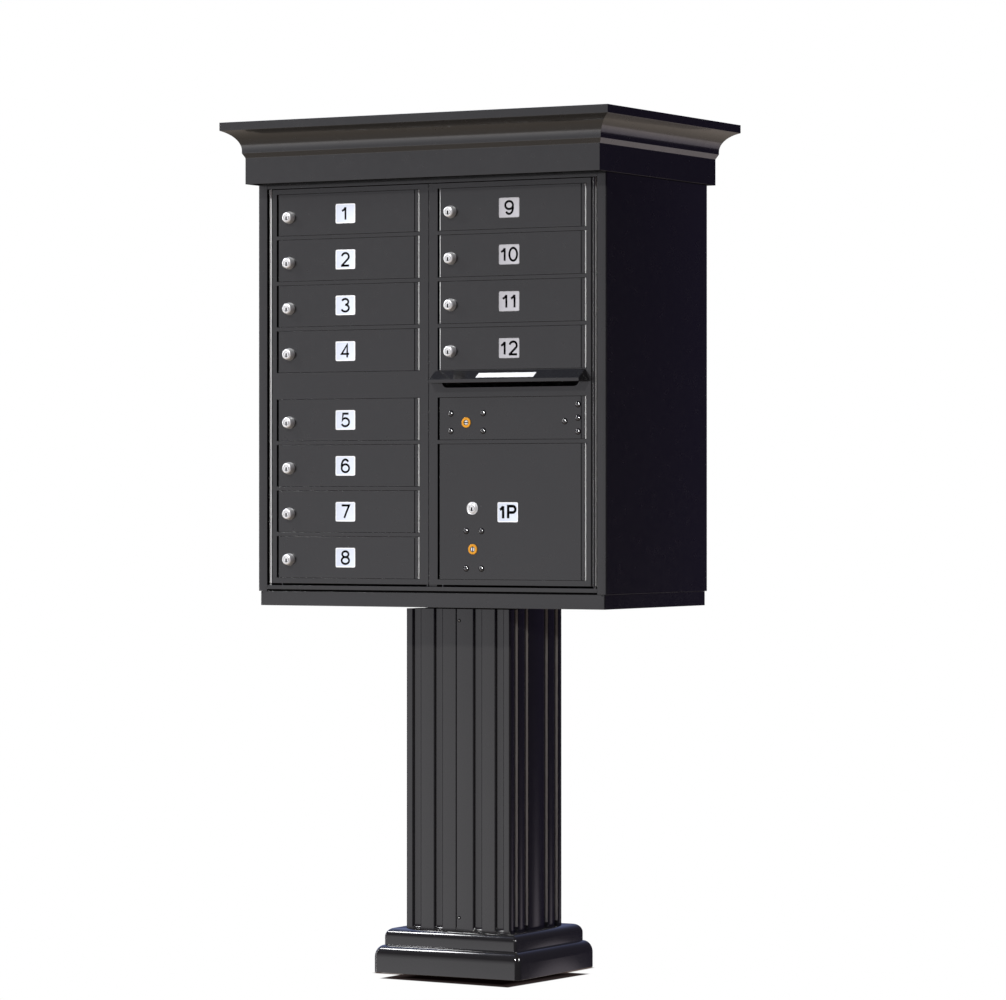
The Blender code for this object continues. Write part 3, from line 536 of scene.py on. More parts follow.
def label_film(name, colour, metallic=0.0, roughness=(0.28, 0.40), gloss=0.5):
    """Printed film or rubber: faintly fibrous, with a soft sheen."""
    material, tree, shader = new_material(name)
    shade = ranged(tree, noise(tree, 400.0, 3.0, piece_seed(tree)), 0.97, 1.02)
    tree.links.new(tinted(tree, colour, shade), shader.inputs["Base Color"])
    tree.links.new(ranged(tree, noise(tree, 90.0, 2.0), *roughness), shader.inputs["Roughness"])
    shader.inputs["Metallic"].default_value = metallic
    shader.inputs["Specular IOR Level"].default_value = gloss
    add_bump(tree, shader, noise(tree, 1200.0, 2.0), 0.00001)
    return material


PAINT = powder_coat("powder_coat", (0.0125, 0.0125, 0.0130))
PAINT_GLOSS = powder_coat("powder_coat_pedestal", (0.0125, 0.0122, 0.0120), (0.12, 0.16), 0.5, 0.03)
BOLT_PAINT = powder_coat("bolt_paint", (0.004, 0.004, 0.005), (0.14, 0.20), 0.8, 0.05)
# Pale paint: painted light on the forward-facing walls of the side flutes
FLUTE_WALL_PAINTED_LIGHT = powder_coat("flute_wall", (0.33, 0.315, 0.31), (0.40, 0.55), 0.0)
POST_PAINT = powder_coat("post_primer", (0.055, 0.055, 0.060), (0.45, 0.60), 0.0)
NICKEL = turned_metal("satin_nickel", (0.86, 0.87, 0.88), (0.26, 0.38), 0.55)
# Near-black finish inside the keyways: painted shade
KEYWAY_PAINTED_SHADE = turned_metal("keyway", (0.004, 0.004, 0.005), (0.60, 0.75), 0.0)
GOLD = turned_metal("gold_lacquer", (0.86, 0.38, 0.03), (0.30, 0.42), 0.55)
PLATED = turned_metal("plated_steel", (0.84, 0.84, 0.85), (0.30, 0.45), 0.6)
RACK_METAL = mill_sheet("mill_aluminium", (0.58, 0.59, 0.60), (0.38, 0.52), 0.9, (0.15, 1.0, 6.0))
BOLT_STEEL = mill_sheet("zinc_plated_steel", (0.55, 0.55, 0.57), (0.32, 0.46), 1.0, (0.2, 1.0, 8.0))
# Bright metal finish: painted highlight on hinge barrels and door edges; also the pillar screws' heads
BRIGHT_METAL_AND_HIGHLIGHT = mill_sheet("hinge_metal", (0.92, 0.94, 0.93), (0.30, 0.42), 0.2, (6.0, 6.0, 0.15))
# Matte black: painted shade in the crown's cavity and underside, the gap over the skirt and round the bolt
# heads; also the pillar screws' cups
BLACK_AND_PAINTED_SHADE = label_film("black_seal", (0.0035, 0.0033, 0.0036), roughness=(0.75, 0.90), gloss=0.0)
LABEL_WHITE = label_film("label_white", (0.70, 0.76, 0.88))
LABEL_EDGE = label_film("label_edge", (0.95, 0.97, 1.0))
LABEL_RIM = label_film("label_rim", (0.42, 0.42, 0.44))
LABEL_SILVER = label_film("label_silver", (0.47, 0.47, 0.505))
INK = label_film("label_ink", (0.0020, 0.0018, 0.0022), roughness=(0.75, 0.90), gloss=0.0)

TENANTS = tuple(range(1, 13))
LEFT_TENANTS = tuple(range(1, 9))
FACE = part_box("tenant_door_1")[0].y
JOINTS = {joint["name"]: joint for joint in frame["joints"]}


def joint_place(name):
    return Vector(JOINTS[name]["pos_m"])


# ---------------------------------------------------------------- cabinet shell

def make_wrap():
    """Folded sheet: sides, back and front flanges, with rounded bends."""
    low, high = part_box("cabinet_wrap")
    inner = BEND_RADIUS - SHEET
    flange = high.x - FLANGE_WIDTH

    def half(offset, radius):
        x, front, back = high.x - offset, low.y + offset, high.y - offset
        points = [(flange, front)]
        points += arc((x - radius, front + radius), radius, 270, 360, 5)
        points += arc((x - radius, back - radius), radius, 0, 90, 5)
        return points

    outer_right, inner_right = half(0.0, BEND_RADIUS), half(SHEET, inner)
    outer_left = [(-x, y) for x, y in reversed(outer_right)]
    inner_left = [(-x, y) for x, y in reversed(inner_right)]
    outline = outer_right + outer_left + list(reversed(inner_left)) + list(reversed(inner_right))
    bm = bmesh.new()
    add_prism(bm, outline, low.z, high.z, "Z")
    wrap = soften(make_object("wrap_panel", bm, PAINT), 0.0003)
    return seat(wrap, "cabinet", "powder_coat", "cabinet_wrap")


def make_skirt_seal():
    """Black seal strip that closes the gap between the skirt and the sill; its black also stands in as
    painted shade in the gap.
    """
    low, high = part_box("front_frame")
    bottom, pan_top = low.z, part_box("cabinet_floor_pan")[1].z
    bm = bmesh.new()
    reach = high.x - SEAL_INSET
    near = (-reach, low.y + SEAL_DEPTH[0], pan_top + BORE_GAP)
    add_block(bm, near, (reach, low.y + SEAL_DEPTH[1], bottom + SEAL_HEIGHT))
    seal = make_object("skirt_seal", bm, BLACK_AND_PAINTED_SHADE)
    return seat(soften(seal, 0.0003), "cabinet", "powder_coat")


def make_floor_pan():
    """Floor plate and skirt, notched where the skirt's bends meet the front."""
    low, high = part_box("cabinet_floor_pan")
    bm = bmesh.new()
    corner = rounded_rectangle((high.x - low.x) / 2, (high.y - low.y) / 2, BEND_RADIUS)
    middle = (low.y + high.y) / 2
    add_prism(bm, [(x, y + middle) for x, y in corner], low.z, high.z, "Z")
    pan = make_object("skirt_pan", bm, PAINT)
    hollow = bmesh.new()
    near = (low.x + SHEET, low.y + SHEET, low.z - SHEET)
    far = (high.x - SHEET, high.y - SHEET, high.z - SKIRT_FLOOR)
    add_block(hollow, near, far)
    cut(pan, hollow)
    notches = bmesh.new()
    for side in (-1, 1):
        edge = side * (high.x - NOTCH_INSET)
        inner = edge - side * NOTCH_WIDTH
        near = (min(edge, inner), low.y - SHEET, high.z - NOTCH_DROP)
        far = (max(edge, inner), low.y + SHEET * 0.8, high.z + NOTCH_DROP)
        add_block(notches, near, far)
    cut(pan, notches)
    return seat(soften(pan, 0.0003), "cabinet", "powder_coat", "cabinet_floor_pan")


def crown_rings(box, levels):
    """Rectangular rings inset from the crown's outer edge; levels are (inset, z)."""
    low, high = box
    rings = []
    for inset, z in levels:
        left, right, front, back = low.x + inset, high.x - inset, low.y + inset, high.y - inset
        rings.append([(left, front, z), (right, front, z), (right, back, z), (left, back, z)])
    return rings


def make_crown():
    """Crown-moulding cap: frieze, bead, concave cove and flat slab."""
    low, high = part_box("crown_cap")
    slab_bottom = high.z - CROWN_SLAB
    cove_bottom = slab_bottom - CROWN_COVE
    bead_top = cove_bottom - CROWN_BEAD_FACE
    bead_bottom = bead_top - CROWN_BEAD_UNDER
    run = CROWN_OUT - CROWN_BEAD_OUT
    levels = [(CROWN_OUT, low.z), (CROWN_OUT, bead_bottom), (run, bead_top)]
    half_across = run + COVE_FLATNESS
    start = math.asin(COVE_FLATNESS / half_across)
    half_up = CROWN_COVE / math.cos(start)
    for step in range(COVE_STEPS + 1):
        angle = math.pi / 2 + (start - math.pi / 2) * step / COVE_STEPS
        inset = half_across * math.sin(angle) - COVE_FLATNESS
        levels.append((inset, cove_bottom + half_up * math.cos(angle)))
    levels.append((0.0, high.z))
    bm = bmesh.new()
    add_loft(bm, crown_rings((low, high), levels))
    crown = make_object("crown_moulding", bm, PAINT, BLACK_AND_PAINTED_SHADE)
    wall, ledge = CROWN_OUT + CROWN_WALL, CROWN_OUT + CROWN_LEDGE
    cavity = low.z + CROWN_CAVITY
    levels = (
        (wall, low.z - CROWN_WALL), (wall, cavity), (ledge, cavity),
        (ledge, cavity + CROWN_WALL), (wall, cavity + CROWN_WALL), (wall, high.z - CROWN_WALL),
    )
    hollow = bmesh.new()
    add_loft(hollow, crown_rings((low, high), levels))
    cut(crown, hollow)
    crown.data.set_sharp_from_angle(angle=CROWN_SHARP_ANGLE)
    inner_x, inner_y = high.x - CROWN_OUT, (low.y + CROWN_OUT, high.y - CROWN_OUT)
    # Painted shade: the crown's cavity and its underside take the matte black
    for polygon in crown.data.polygons:
        x, y, z = polygon.center
        inside = abs(x) < inner_x - EDGE and inner_y[0] + EDGE < y < inner_y[1] - EDGE
        if inside and z < low.z + CROWN_CAVITY + EDGE:
            polygon.material_index = 1
        if z < low.z + EDGE / 2:
            polygon.material_index = 1
    soften(crown, 0.0005).modifiers[-1].angle_limit = CROWN_SHARP_ANGLE
    return seat(crown, "cabinet", "powder_coat", "crown_cap")


# ---------------------------------------------------------------- doors

def barrel_outline(left, right, side, barrel, groove, groove_width, thickness):
    """Plan of a door: flat plate, recessed leaf and the hinge barrel on its far edge.

    left and right are the plate's free edge and the barrel's outer edge; side -1 mirrors it."""
    centre = right - barrel
    start = 180 + math.degrees(math.asin((barrel - groove) / barrel))
    end = 540 - math.degrees(math.asin(min(1.0, (thickness - barrel) / barrel)))
    plate = right - groove_width
    points = [(left, 0.0), (plate, 0.0), (plate, groove)]
    if thickness > 2 * barrel:
        points += arc((centre, barrel), barrel, start, 360, BARREL_STEPS)
        points += [(right, barrel * 2.4), (right - barrel * 0.8, thickness)]
    else:
        points += arc((centre, barrel), barrel, start, end, BARREL_STEPS)
    points.append((left, thickness))
    return [(side * x, FACE + y) for x, y in points]


def brighten_barrel(door, centre, barrel, azimuths):
    """Painted highlight: bright metal finish on the part of a hinge barrel that faces between two azimuths.
    """
    door.data.materials.append(BRIGHT_METAL_AND_HIGHLIGHT)
    index = len(door.data.materials) - 1
    low, high = (math.radians(angle) for angle in azimuths)
    reach = barrel * 1.02
    for polygon in door.data.polygons:
        normal = polygon.normal
        azimuth = math.atan2(normal.x, -normal.y)
        offset = Vector((polygon.center.x - centre.x, polygon.center.y - centre.y))
        if abs(normal.z) < 0.1 and low < azimuth < high and offset.length < reach:
            polygon.material_index = index


def opening_of(door):
    """Low and high corners of the master-door opening that a compartment door closes."""
    low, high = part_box(door)
    pin = DOOR_PIN_REACH + OPENING_CLEARANCE
    near = (low.x - OPENING_LEFT_GAP, FACE, low.z + pin - 2 * OPENING_CLEARANCE)
    far = (high.x + OPENING_RIGHT_GAP, FACE, high.z - pin + 2 * OPENING_CLEARANCE)
    return Vector(near), Vector(far)


def make_master(name, node, body, side, doors):
    low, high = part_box(node)
    hinge = joint_place(f"{body}_hinge")
    free = min(abs(low.x), abs(high.x))
    outer = max(abs(low.x), abs(high.x))
    bottom, top = low.z + MASTER_PIN_LENGTH, high.z - MASTER_PIN_LENGTH
    outline = barrel_outline(
        free, outer, side, MASTER_BARREL, MASTER_GROOVE, MASTER_GROOVE_WIDTH, MASTER_THICKNESS)
    bm = bmesh.new()
    add_prism(bm, outline, bottom, top, "Z")
    door = make_object(name, bm, PAINT)
    cutters = bmesh.new()
    for tenant in doors:
        near, far = opening_of(tenant)
        add_block(cutters, near - Vector((0, 0.01, 0)), far + Vector((0, 0.03, 0)))
    cut(door, cutters)
    pins = bmesh.new()
    centre = (hinge.x, hinge.y, 0.0)
    add_rod(pins, MASTER_PIN, centre, low.z, bottom + MASTER_PIN, "Z")
    add_rod(pins, MASTER_PIN, centre, top - MASTER_PIN, high.z, "Z")
    join(door, pins)
    brighten_barrel(door, hinge, MASTER_BARREL, MASTER_LEFT_HIGHLIGHT_BAND if side < 0 else MASTER_RIGHT_HIGHLIGHT_BAND)
    return door


def slot_outline():
    """Mail slot: square top corners and rounded lower corners."""
    low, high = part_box("mail_slot_hood")
    left, right = low.x + SLOT_IN_LEFT, high.x - SLOT_IN_RIGHT
    bottom, top = low.z - SLOT_BELOW, low.z + SLOT_ABOVE
    outline = arc((left + SLOT_RADIUS, bottom + SLOT_RADIUS), SLOT_RADIUS, 180, 270, 10)
    outline += arc((right - SLOT_RADIUS, bottom + SLOT_RADIUS), SLOT_RADIUS, 270, 360, 10)
    return outline + [(right, top), (left, top)]


def make_masters():
    left_doors = [f"tenant_door_{number}" for number in LEFT_TENANTS]
    right_doors = [f"tenant_door_{number}" for number in TENANTS if number not in LEFT_TENANTS]
    left = make_master("master_frame_left", "master_door_left", "master_left", -1, left_doors)
    right = make_master(
        "master_frame_right", "master_door_right", "master_right", 1,
        right_doors + ["access_door", "parcel_door"])
    slot = bmesh.new()
    add_prism(slot, slot_outline(), FACE - 0.01, FACE + 0.03, "Y")
    cut(right, slot)
    seat(soften(left), "master_left", "powder_coat", "master_door_left")
    seat(soften(right), "master_right", "powder_coat", "master_door_right")


def make_compartment_door(name, node, body, holes):
    """Plate with its hinge barrel and pins; holes are (x, z, radius)."""
    low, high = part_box(node)
    hinge = joint_place(hinge_of(body))
    bottom, top = low.z + DOOR_PIN_REACH, high.z - DOOR_PIN_REACH
    outline = barrel_outline(
        low.x, high.x, 1, DOOR_BARREL, DOOR_GROOVE, DOOR_GROOVE_WIDTH, DOOR_THICKNESS)
    bm = bmesh.new()
    add_prism(bm, outline, bottom, top, "Z")
    door = make_object(name, bm, PAINT)
    pins = bmesh.new()
    centre = (hinge.x, hinge.y, 0.0)
    add_rod(pins, DOOR_PIN, centre, low.z, bottom + DOOR_PIN, "Z", 12)
    add_rod(pins, DOOR_PIN, centre, top - DOOR_PIN, high.z, "Z", 12)
    join(door, pins)
    cutters = bmesh.new()
    for x, z, radius in holes:
        add_rod(cutters, radius, (x, 0.0, z), FACE - 0.01, FACE + 0.01, "Y", ROUND)
    cut(door, cutters)
    brighten_barrel(door, hinge, DOOR_BARREL, DOOR_HIGHLIGHT_BAND)
    return soften(move_origin(door, hinge), 0.0003)


def hinge_of(body):
    """Name of the hinge that a compartment door's body turns on."""
    if body.startswith("tenant_"):
        return f"door_{body.split('_')[1]}_hinge"
    return f"{body}_door_hinge"


def make_tenant_doors():
    """Twelve doors that share one mesh."""
    lock = joint_place("lock_1_turn")
    hole = (lock.x, lock.z, HOUSING_RADIUS + BORE_GAP)
    first = make_compartment_door("door_plate_1", "tenant_door_1", "tenant_1", [hole])
    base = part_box("tenant_door_1")[0]
    for number in TENANTS:
        node = f"tenant_door_{number}"
        door = first
        if number > 1:
            door = repeat(first, f"door_plate_{number}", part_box(node)[0] - base)
    # seated only after every copy has been placed from the first one
    for number in TENANTS:
        door = bpy.data.objects[f"door_plate_{number}"]
        seat(door, f"tenant_{number}", "powder_coat", f"tenant_door_{number}")


def make_edge_strips():
    """Painted highlight: a bright metal strip on the free edge of each compartment door in the right column.
    """
    (start, end), (near_y, far_y) = EDGE_HIGHLIGHT, EDGE_HIGHLIGHT_DEPTHS
    for number in TENANTS:
        if number in LEFT_TENANTS:
            continue
        low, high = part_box(f"tenant_door_{number}")
        bm = bmesh.new()
        near = (low.x + start, FACE + near_y, low.z + DOOR_PIN_REACH + EDGE)
        add_block(bm, near, (low.x + end, FACE + far_y, high.z - DOOR_PIN_REACH - EDGE))
        strip = make_object(f"edge_strip_{number}", bm, BRIGHT_METAL_AND_HIGHLIGHT)
        seat(strip, f"tenant_{number}", "powder_coat")


def make_carrier_doors():
    nose = NOSE_RADIUS + BORE_GAP
    lock = joint_place("access_lock_turn")
    access = make_compartment_door("access_plate", "access_door", "access", [(lock.x, lock.z, nose)])
    seat(access, "access", "powder_coat", "access_door")
    lock = joint_place("parcel_carrier_lock_turn")
    tenant = joint_place("parcel_tenant_lock_turn")
    holes = [(lock.x, lock.z, nose), (tenant.x, tenant.z, HOUSING_RADIUS + BORE_GAP)]
    parcel = make_compartment_door("parcel_plate", "parcel_door", "parcel", holes)
    seat(parcel, "parcel", "powder_coat", "parcel_door")


def make_bolt_heads(name, body, places):
    """Low domed heads of the carriage bolts, one group on each door, each ringed by a matte black painted
    shadow.
    """
    bm = bmesh.new()
    shadow_ring_mesh = bmesh.new()
    for x, z in places:
        shadow_ring_radius = BOLT_HEAD_RADIUS + BOLT_SHADOW_RING
        add_rod(shadow_ring_mesh, shadow_ring_radius, (x, FACE, z), 0.0001, -0.0002, "Y", 24)
        profile = [(BOLT_HEAD_RADIUS, -0.00005), (BOLT_HEAD_RADIUS, -0.0003)]
        for step in range(1, 8):
            angle = math.pi / 2 * step / 8
            rise = 0.0003 + (BOLT_HEAD_RISE - 0.0003) * math.sin(angle)
            profile.append((BOLT_HEAD_RADIUS * math.cos(angle), -rise))
        add_loft(bm, turned_rings(profile, (x, FACE, z), "Y", 24))
    seat(make_object(f"{name}_seats", shadow_ring_mesh, BLACK_AND_PAINTED_SHADE), body, "powder_coat")
    return seat(make_object(name, bm, BOLT_PAINT), body, "powder_coat")


def bolt_heads():
    lock = joint_place("access_lock_turn")
    access = [(lock.x + across, lock.z + up) for across in (-0.0343, 0.0372) for up in (0.0176, -0.0160)]
    access.append((lock.x + 0.2143, lock.z + 0.0009))
    access += [(lock.x + 0.2429, lock.z + up) for up in (0.0327, 0.0071, -0.0188)]
    make_bolt_heads("access_bolt_heads", "access", access)
    lock = joint_place("parcel_carrier_lock_turn")
    parcel = [(lock.x + across, lock.z + up) for across in (-0.0147, 0.0188) for up in (0.0349, -0.0368)]
    make_bolt_heads("parcel_bolt_heads", "parcel", parcel)


def make_hood():
    """Bent-sheet hood over the mail slot, with a flared gusset at each end."""
    low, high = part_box("mail_slot_hood")
    back = high.y
    lip_top = low.z + HOOD_LIP

    def shell(inset, rise, behind, below):
        left, right = low.x + HOOD_FLARE + inset, high.x - HOOD_FLARE - inset
        front, top, lip = low.y + inset, high.z - rise, lip_top - rise
        flare = HOOD_FLARE
        ends = []
        for x, outward in ((left, -flare), (right, flare)):
            ends.append((
                (x, back + behind, top), (x, front, lip),
                (x, front, low.z - below), (x + outward, back + behind, low.z - below)))
        bm = bmesh.new()
        add_loft(bm, ends)
        return bm

    hood = make_object("slot_hood", shell(0.0, 0.0, 0.0, 0.0), PAINT)
    cut(hood, shell(HOOD_SHEET, HOOD_SHEET * 1.2, 0.004, 0.004))
    return seat(soften(hood, 0.0005), "master_right", "powder_coat", "mail_slot_hood")


# ---------------------------------------------------------------- locks

def lock_housing(name, centre, reach):
    """Collar, threaded body and the hexagon nut behind the door, round the lock's axis."""
    bore = PLUG_RADIUS + PLUG_GAP
    end = 0.0130
    lip = 0.0009
    profile = [
        (bore, -reach + lip), (bore + lip * 0.8, -reach),
        *((radius, -reach + back) for radius, back in COLLAR_DOME), (COLLAR_TIP, -reach + 4 * lip),
        (COLLAR_FOOT, -0.0009), (COLLAR_FOOT, -BORE_GAP), (HOUSING_RADIUS, -BORE_GAP),
    ]
    threads = 8
    pitch = (end - DOOR_THICKNESS) / threads
    for turn in range(threads):
        start = DOOR_THICKNESS + turn * pitch
        profile += [(HOUSING_RADIUS, start), (HOUSING_RADIUS - 0.0004, start + pitch / 2)]
    profile += [(HOUSING_RADIUS, end), (bore, end)]
    bm = bmesh.new()
    add_loft(bm, turned_rings(profile, centre), closed=True)
    housing = make_object(name, bm, NICKEL)
    nut = bmesh.new()
    radius = NUT_FLATS / math.cos(math.pi / 6)
    nut_start = DOOR_THICKNESS + BORE_GAP
    corner = NUT_FLATS * 1.03
    profile = ((corner, nut_start), (radius, nut_start + 0.0006),
               (radius, nut_start + NUT_THICKNESS - 0.0006), (corner, nut_start + NUT_THICKNESS))
    add_loft(nut, turned_rings(profile, centre, "Y", 6))
    join(housing, nut)
    bore_bm = bmesh.new()
    add_rod(bore_bm, bore, centre, 0.0, end + 0.001, "Y", ROUND)
    cut(housing, bore_bm)
    return move_origin(housing, centre)


def keyway(centre, face, size, lying=False):
    width, length, sunk = size
    half_x, half_z = (length / 2, width / 2) if lying else (width / 2, length / 2)
    bm = bmesh.new()
    outline = rounded_rectangle(half_x, half_z, min(half_x, half_z) * 0.5, 3)
    outline = [(centre[0] + x, centre[2] + z) for x, z in outline]
    add_prism(bm, outline, face - sunk, face + sunk, "Y")
    return bm


def cam_plug(name, node, centre, direction):
    """Key plug and its cam."""
    low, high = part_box(node)
    face, end = low.y, high.y
    cam_start = end - CAM_THICKNESS
    reach = (centre.z - low.z) if direction < 0 else (high.z - centre.z)
    rim = 0.0005
    profile = [
        (PLUG_RADIUS - rim, face - centre.y), (PLUG_RADIUS, face - centre.y + rim),
        (PLUG_RADIUS, cam_start - centre.y + CAM_THICKNESS / 2)]
    bm = bmesh.new()
    add_loft(bm, turned_rings(profile, centre))
    plug = make_object(name, bm, NICKEL, KEYWAY_PAINTED_SHADE)
    cam = bmesh.new()
    start = 0 if direction > 0 else 180
    half = CAM_HALF_WIDTH
    outline = arc((centre.x, centre.z + direction * (reach - half)), half, start, start + 180, 16)
    outline += arc((centre.x, centre.z), half, start + 180, start + 360, 16)
    add_prism(cam, outline, cam_start, end, "Y")
    join(plug, cam)
    slot_centre = centre - Vector((0, 0, KEYWAY_DROP))
    cut(plug, keyway(slot_centre, face, KEYWAY))
    darken_keyway(plug, slot_centre, face)
    return soften(move_origin(plug, centre), 0.0002, 1)


def darken_keyway(plug, centre, face):
    """Painted shade: gives the walls and floor of the keyway a near-black finish."""
    reach = max(CARRIER_KEYWAY) / 2 + 0.0010
    for polygon in plug.data.polygons:
        offset = polygon.center - Vector(centre)
        inside = abs(offset.x) < reach and abs(offset.z) < reach
        if inside and face + 0.0002 < polygon.center.y < face + KEYWAY[2] + 0.0002:
            polygon.material_index = 1


def make_tenant_locks():
    """Twelve locks that share their housing and plug meshes."""
    first = joint_place("lock_1_turn")
    reach = first.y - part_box("lock_housing_1")[0].y
    housing = lock_housing("lock_collar_1", first, reach)
    plug = cam_plug("key_plug_1", "lock_plug_1", first, -1)
    for number in TENANTS[1:]:
        offset = joint_place(f"lock_{number}_turn") - first
        repeat(housing, f"lock_collar_{number}", offset)
        repeat(plug, f"key_plug_{number}", offset)
    for number in TENANTS:
        collar = bpy.data.objects[f"lock_collar_{number}"]
        seat(collar, f"tenant_{number}", "lock_nickel", f"lock_housing_{number}")
        plug = bpy.data.objects[f"key_plug_{number}"]
        seat(plug, f"plug_{number}", "lock_nickel", f"lock_plug_{number}")


def make_parcel_tenant_lock():
    centre = joint_place("parcel_tenant_lock_turn")
    reach = centre.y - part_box("parcel_tenant_lock_housing")[0].y
    housing = lock_housing("parcel_lock_collar", centre, reach)
    seat(housing, "parcel", "lock_nickel", "parcel_tenant_lock_housing")
    plug = cam_plug("parcel_key_plug", "parcel_tenant_lock_plug", centre, 1)
    seat(plug, "parcel_tenant_plug", "lock_nickel", "parcel_tenant_lock_plug")


def make_carrier_lock(prefix, body, plug_body, joint, nodes, lying):
    """Gold nose ring, the lock case behind the door and the silver key plug."""
    centre = joint_place(joint)
    case_node, plug_node = nodes
    low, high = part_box(case_node)
    case_front = FACE + DOOR_THICKNESS + BORE_GAP
    case_end = FACE + 0.0130
    bore = CARRIER_PLUG + BORE_GAP
    bm = bmesh.new()
    add_block(bm, (low.x, case_front, low.z), (high.x, case_end, high.z))
    case = make_object(f"{prefix}_case", bm, PLATED, GOLD)
    guides = bmesh.new()
    guide_low, guide_high = (-0.0187, -0.0153), (0.0073, 0.0107)
    for bottom, top in (guide_low, guide_high):
        near = (centre.x - 0.022, case_end - 0.001, centre.z + bottom)
        add_block(guides, near, (centre.x - 0.0135, high.y, centre.z + top))
    join(case, guides)
    hole = bmesh.new()
    add_rod(hole, bore, centre, 0.0, 0.02, "Y", ROUND)
    cut(case, hole)
    seat(soften(move_origin(case, centre), 0.0004), body, "lock_gold", case_node)

    nose = bmesh.new()
    rim = 0.0005
    profile = [
        (bore, case_front - FACE - BORE_GAP), (bore, -NOSE_REACH + rim), (bore + rim, -NOSE_REACH),
        (NOSE_RADIUS - rim, -NOSE_REACH), (NOSE_RADIUS, -NOSE_REACH + rim),
        (NOSE_RADIUS, case_front - FACE - BORE_GAP)]
    add_loft(nose, turned_rings(profile, centre), closed=True)
    ring = make_object(f"{prefix}_nose_ring", nose, GOLD, KEYWAY_PAINTED_SHADE)
    width, length, sunk = CARRIER_KEYWAY
    cut(ring, keyway(centre, FACE - NOSE_REACH, (width, length + 0.0016, sunk / 2), lying))
    darken_keyway(ring, centre, FACE - NOSE_REACH)
    move_origin(ring, centre)
    seat(ring, body, "lock_gold")

    low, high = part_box(plug_node)
    profile = [
        (CARRIER_PLUG - rim, -0.0009), (CARRIER_PLUG, -0.0009 + rim), (CARRIER_PLUG, 0.0133),
        (0.0105, 0.0133), (0.0105, 0.0150)]
    bm = bmesh.new()
    add_loft(bm, turned_rings(profile, centre))
    plug = make_object(f"{prefix}_plug", bm, PLATED, KEYWAY_PAINTED_SHADE)
    pin = bmesh.new()
    add_rod(pin, 0.0015, (centre.x + 0.006, centre.y, centre.z - 0.006), 0.0144, high.y - centre.y, "Y")
    join(plug, pin)
    cut(plug, keyway(centre, FACE - 0.0009, CARRIER_KEYWAY, lying))
    darken_keyway(plug, centre, FACE - 0.0009)
    seat(move_origin(plug, centre), plug_body, "lock_steel", plug_node)


def make_carrier_locks():
    make_carrier_lock(
        "access", "access", "access_plug", "access_lock_turn",
        ("access_lock_case", "access_lock_plug"), lying=True)
    make_carrier_lock(
        "parcel_carrier", "parcel", "parcel_carrier_plug", "parcel_carrier_lock_turn",
        ("parcel_carrier_lock_case", "parcel_carrier_lock_plug"), lying=False)


# ---------------------------------------------------------------- labels

def ellipse(centre, radii, start, end, steps=20):
    """Points on part of an ellipse, angles in degrees."""
    points = []
    for step in range(steps + 1):
        angle = math.radians(start + (end - start) * step / steps)
        points.append((centre[0] + radii[0] * math.cos(angle), centre[1] + radii[1] * math.sin(angle)))
    return points


def glyph_strokes(character):
    """Centre-lines of a plain sans numeral or letter in a unit box."""
    bowl_six = ellipse((0.5, 0.31), (0.5, 0.31), 0, 360, 28)
    stem_six = ellipse((0.5, 0.50), (0.5, 0.50), 40, 195, 16)
    turned = lambda strokes: [[(1 - x, 1 - y) for x, y in stroke] for stroke in strokes]
    return {
        "0": [ellipse((0.5, 0.5), (0.5, 0.5), 0, 360, 32)],
        "1": [[(0.80, 0.0), (0.80, 1.0)], [(0.80, 0.97), (0.45, 0.80), (0.0, 0.70)]],
        "2": [ellipse((0.5, 0.71), (0.46, 0.29), 170, -30, 18) + [(0.05, 0.02), (0.05, 0.0), (1.0, 0.0)]],
        "3": [
            ellipse((0.47, 0.77), (0.42, 0.23), 160, -90, 18),
            ellipse((0.47, 0.27), (0.50, 0.27), 90, -160, 18)],
        "4": [[(0.74, 0.0), (0.74, 1.0), (0.0, 0.28), (1.0, 0.28)]],
        "5": [[(0.92, 1.0), (0.20, 1.0), (0.08, 0.46)] + ellipse((0.48, 0.32), (0.52, 0.32), 128, -155, 18)],
        "6": [bowl_six, stem_six],
        "7": [[(0.0, 1.0), (1.0, 1.0)] + [(0.98, 0.97), (0.62, 0.45), (0.36, 0.0)]],
        "8": [
            ellipse((0.5, 0.77), (0.42, 0.23), 0, 360, 26),
            ellipse((0.5, 0.27), (0.5, 0.27), 0, 360, 28)],
        "9": turned([bowl_six, stem_six]),
        "P": [[(0.0, 0.0), (0.0, 1.0), (0.55, 1.0)] + ellipse((0.6, 0.74), (0.4, 0.26), 85, -85, 14)
              + [(0.55, 0.48), (0.03, 0.48)]],
    }[character]


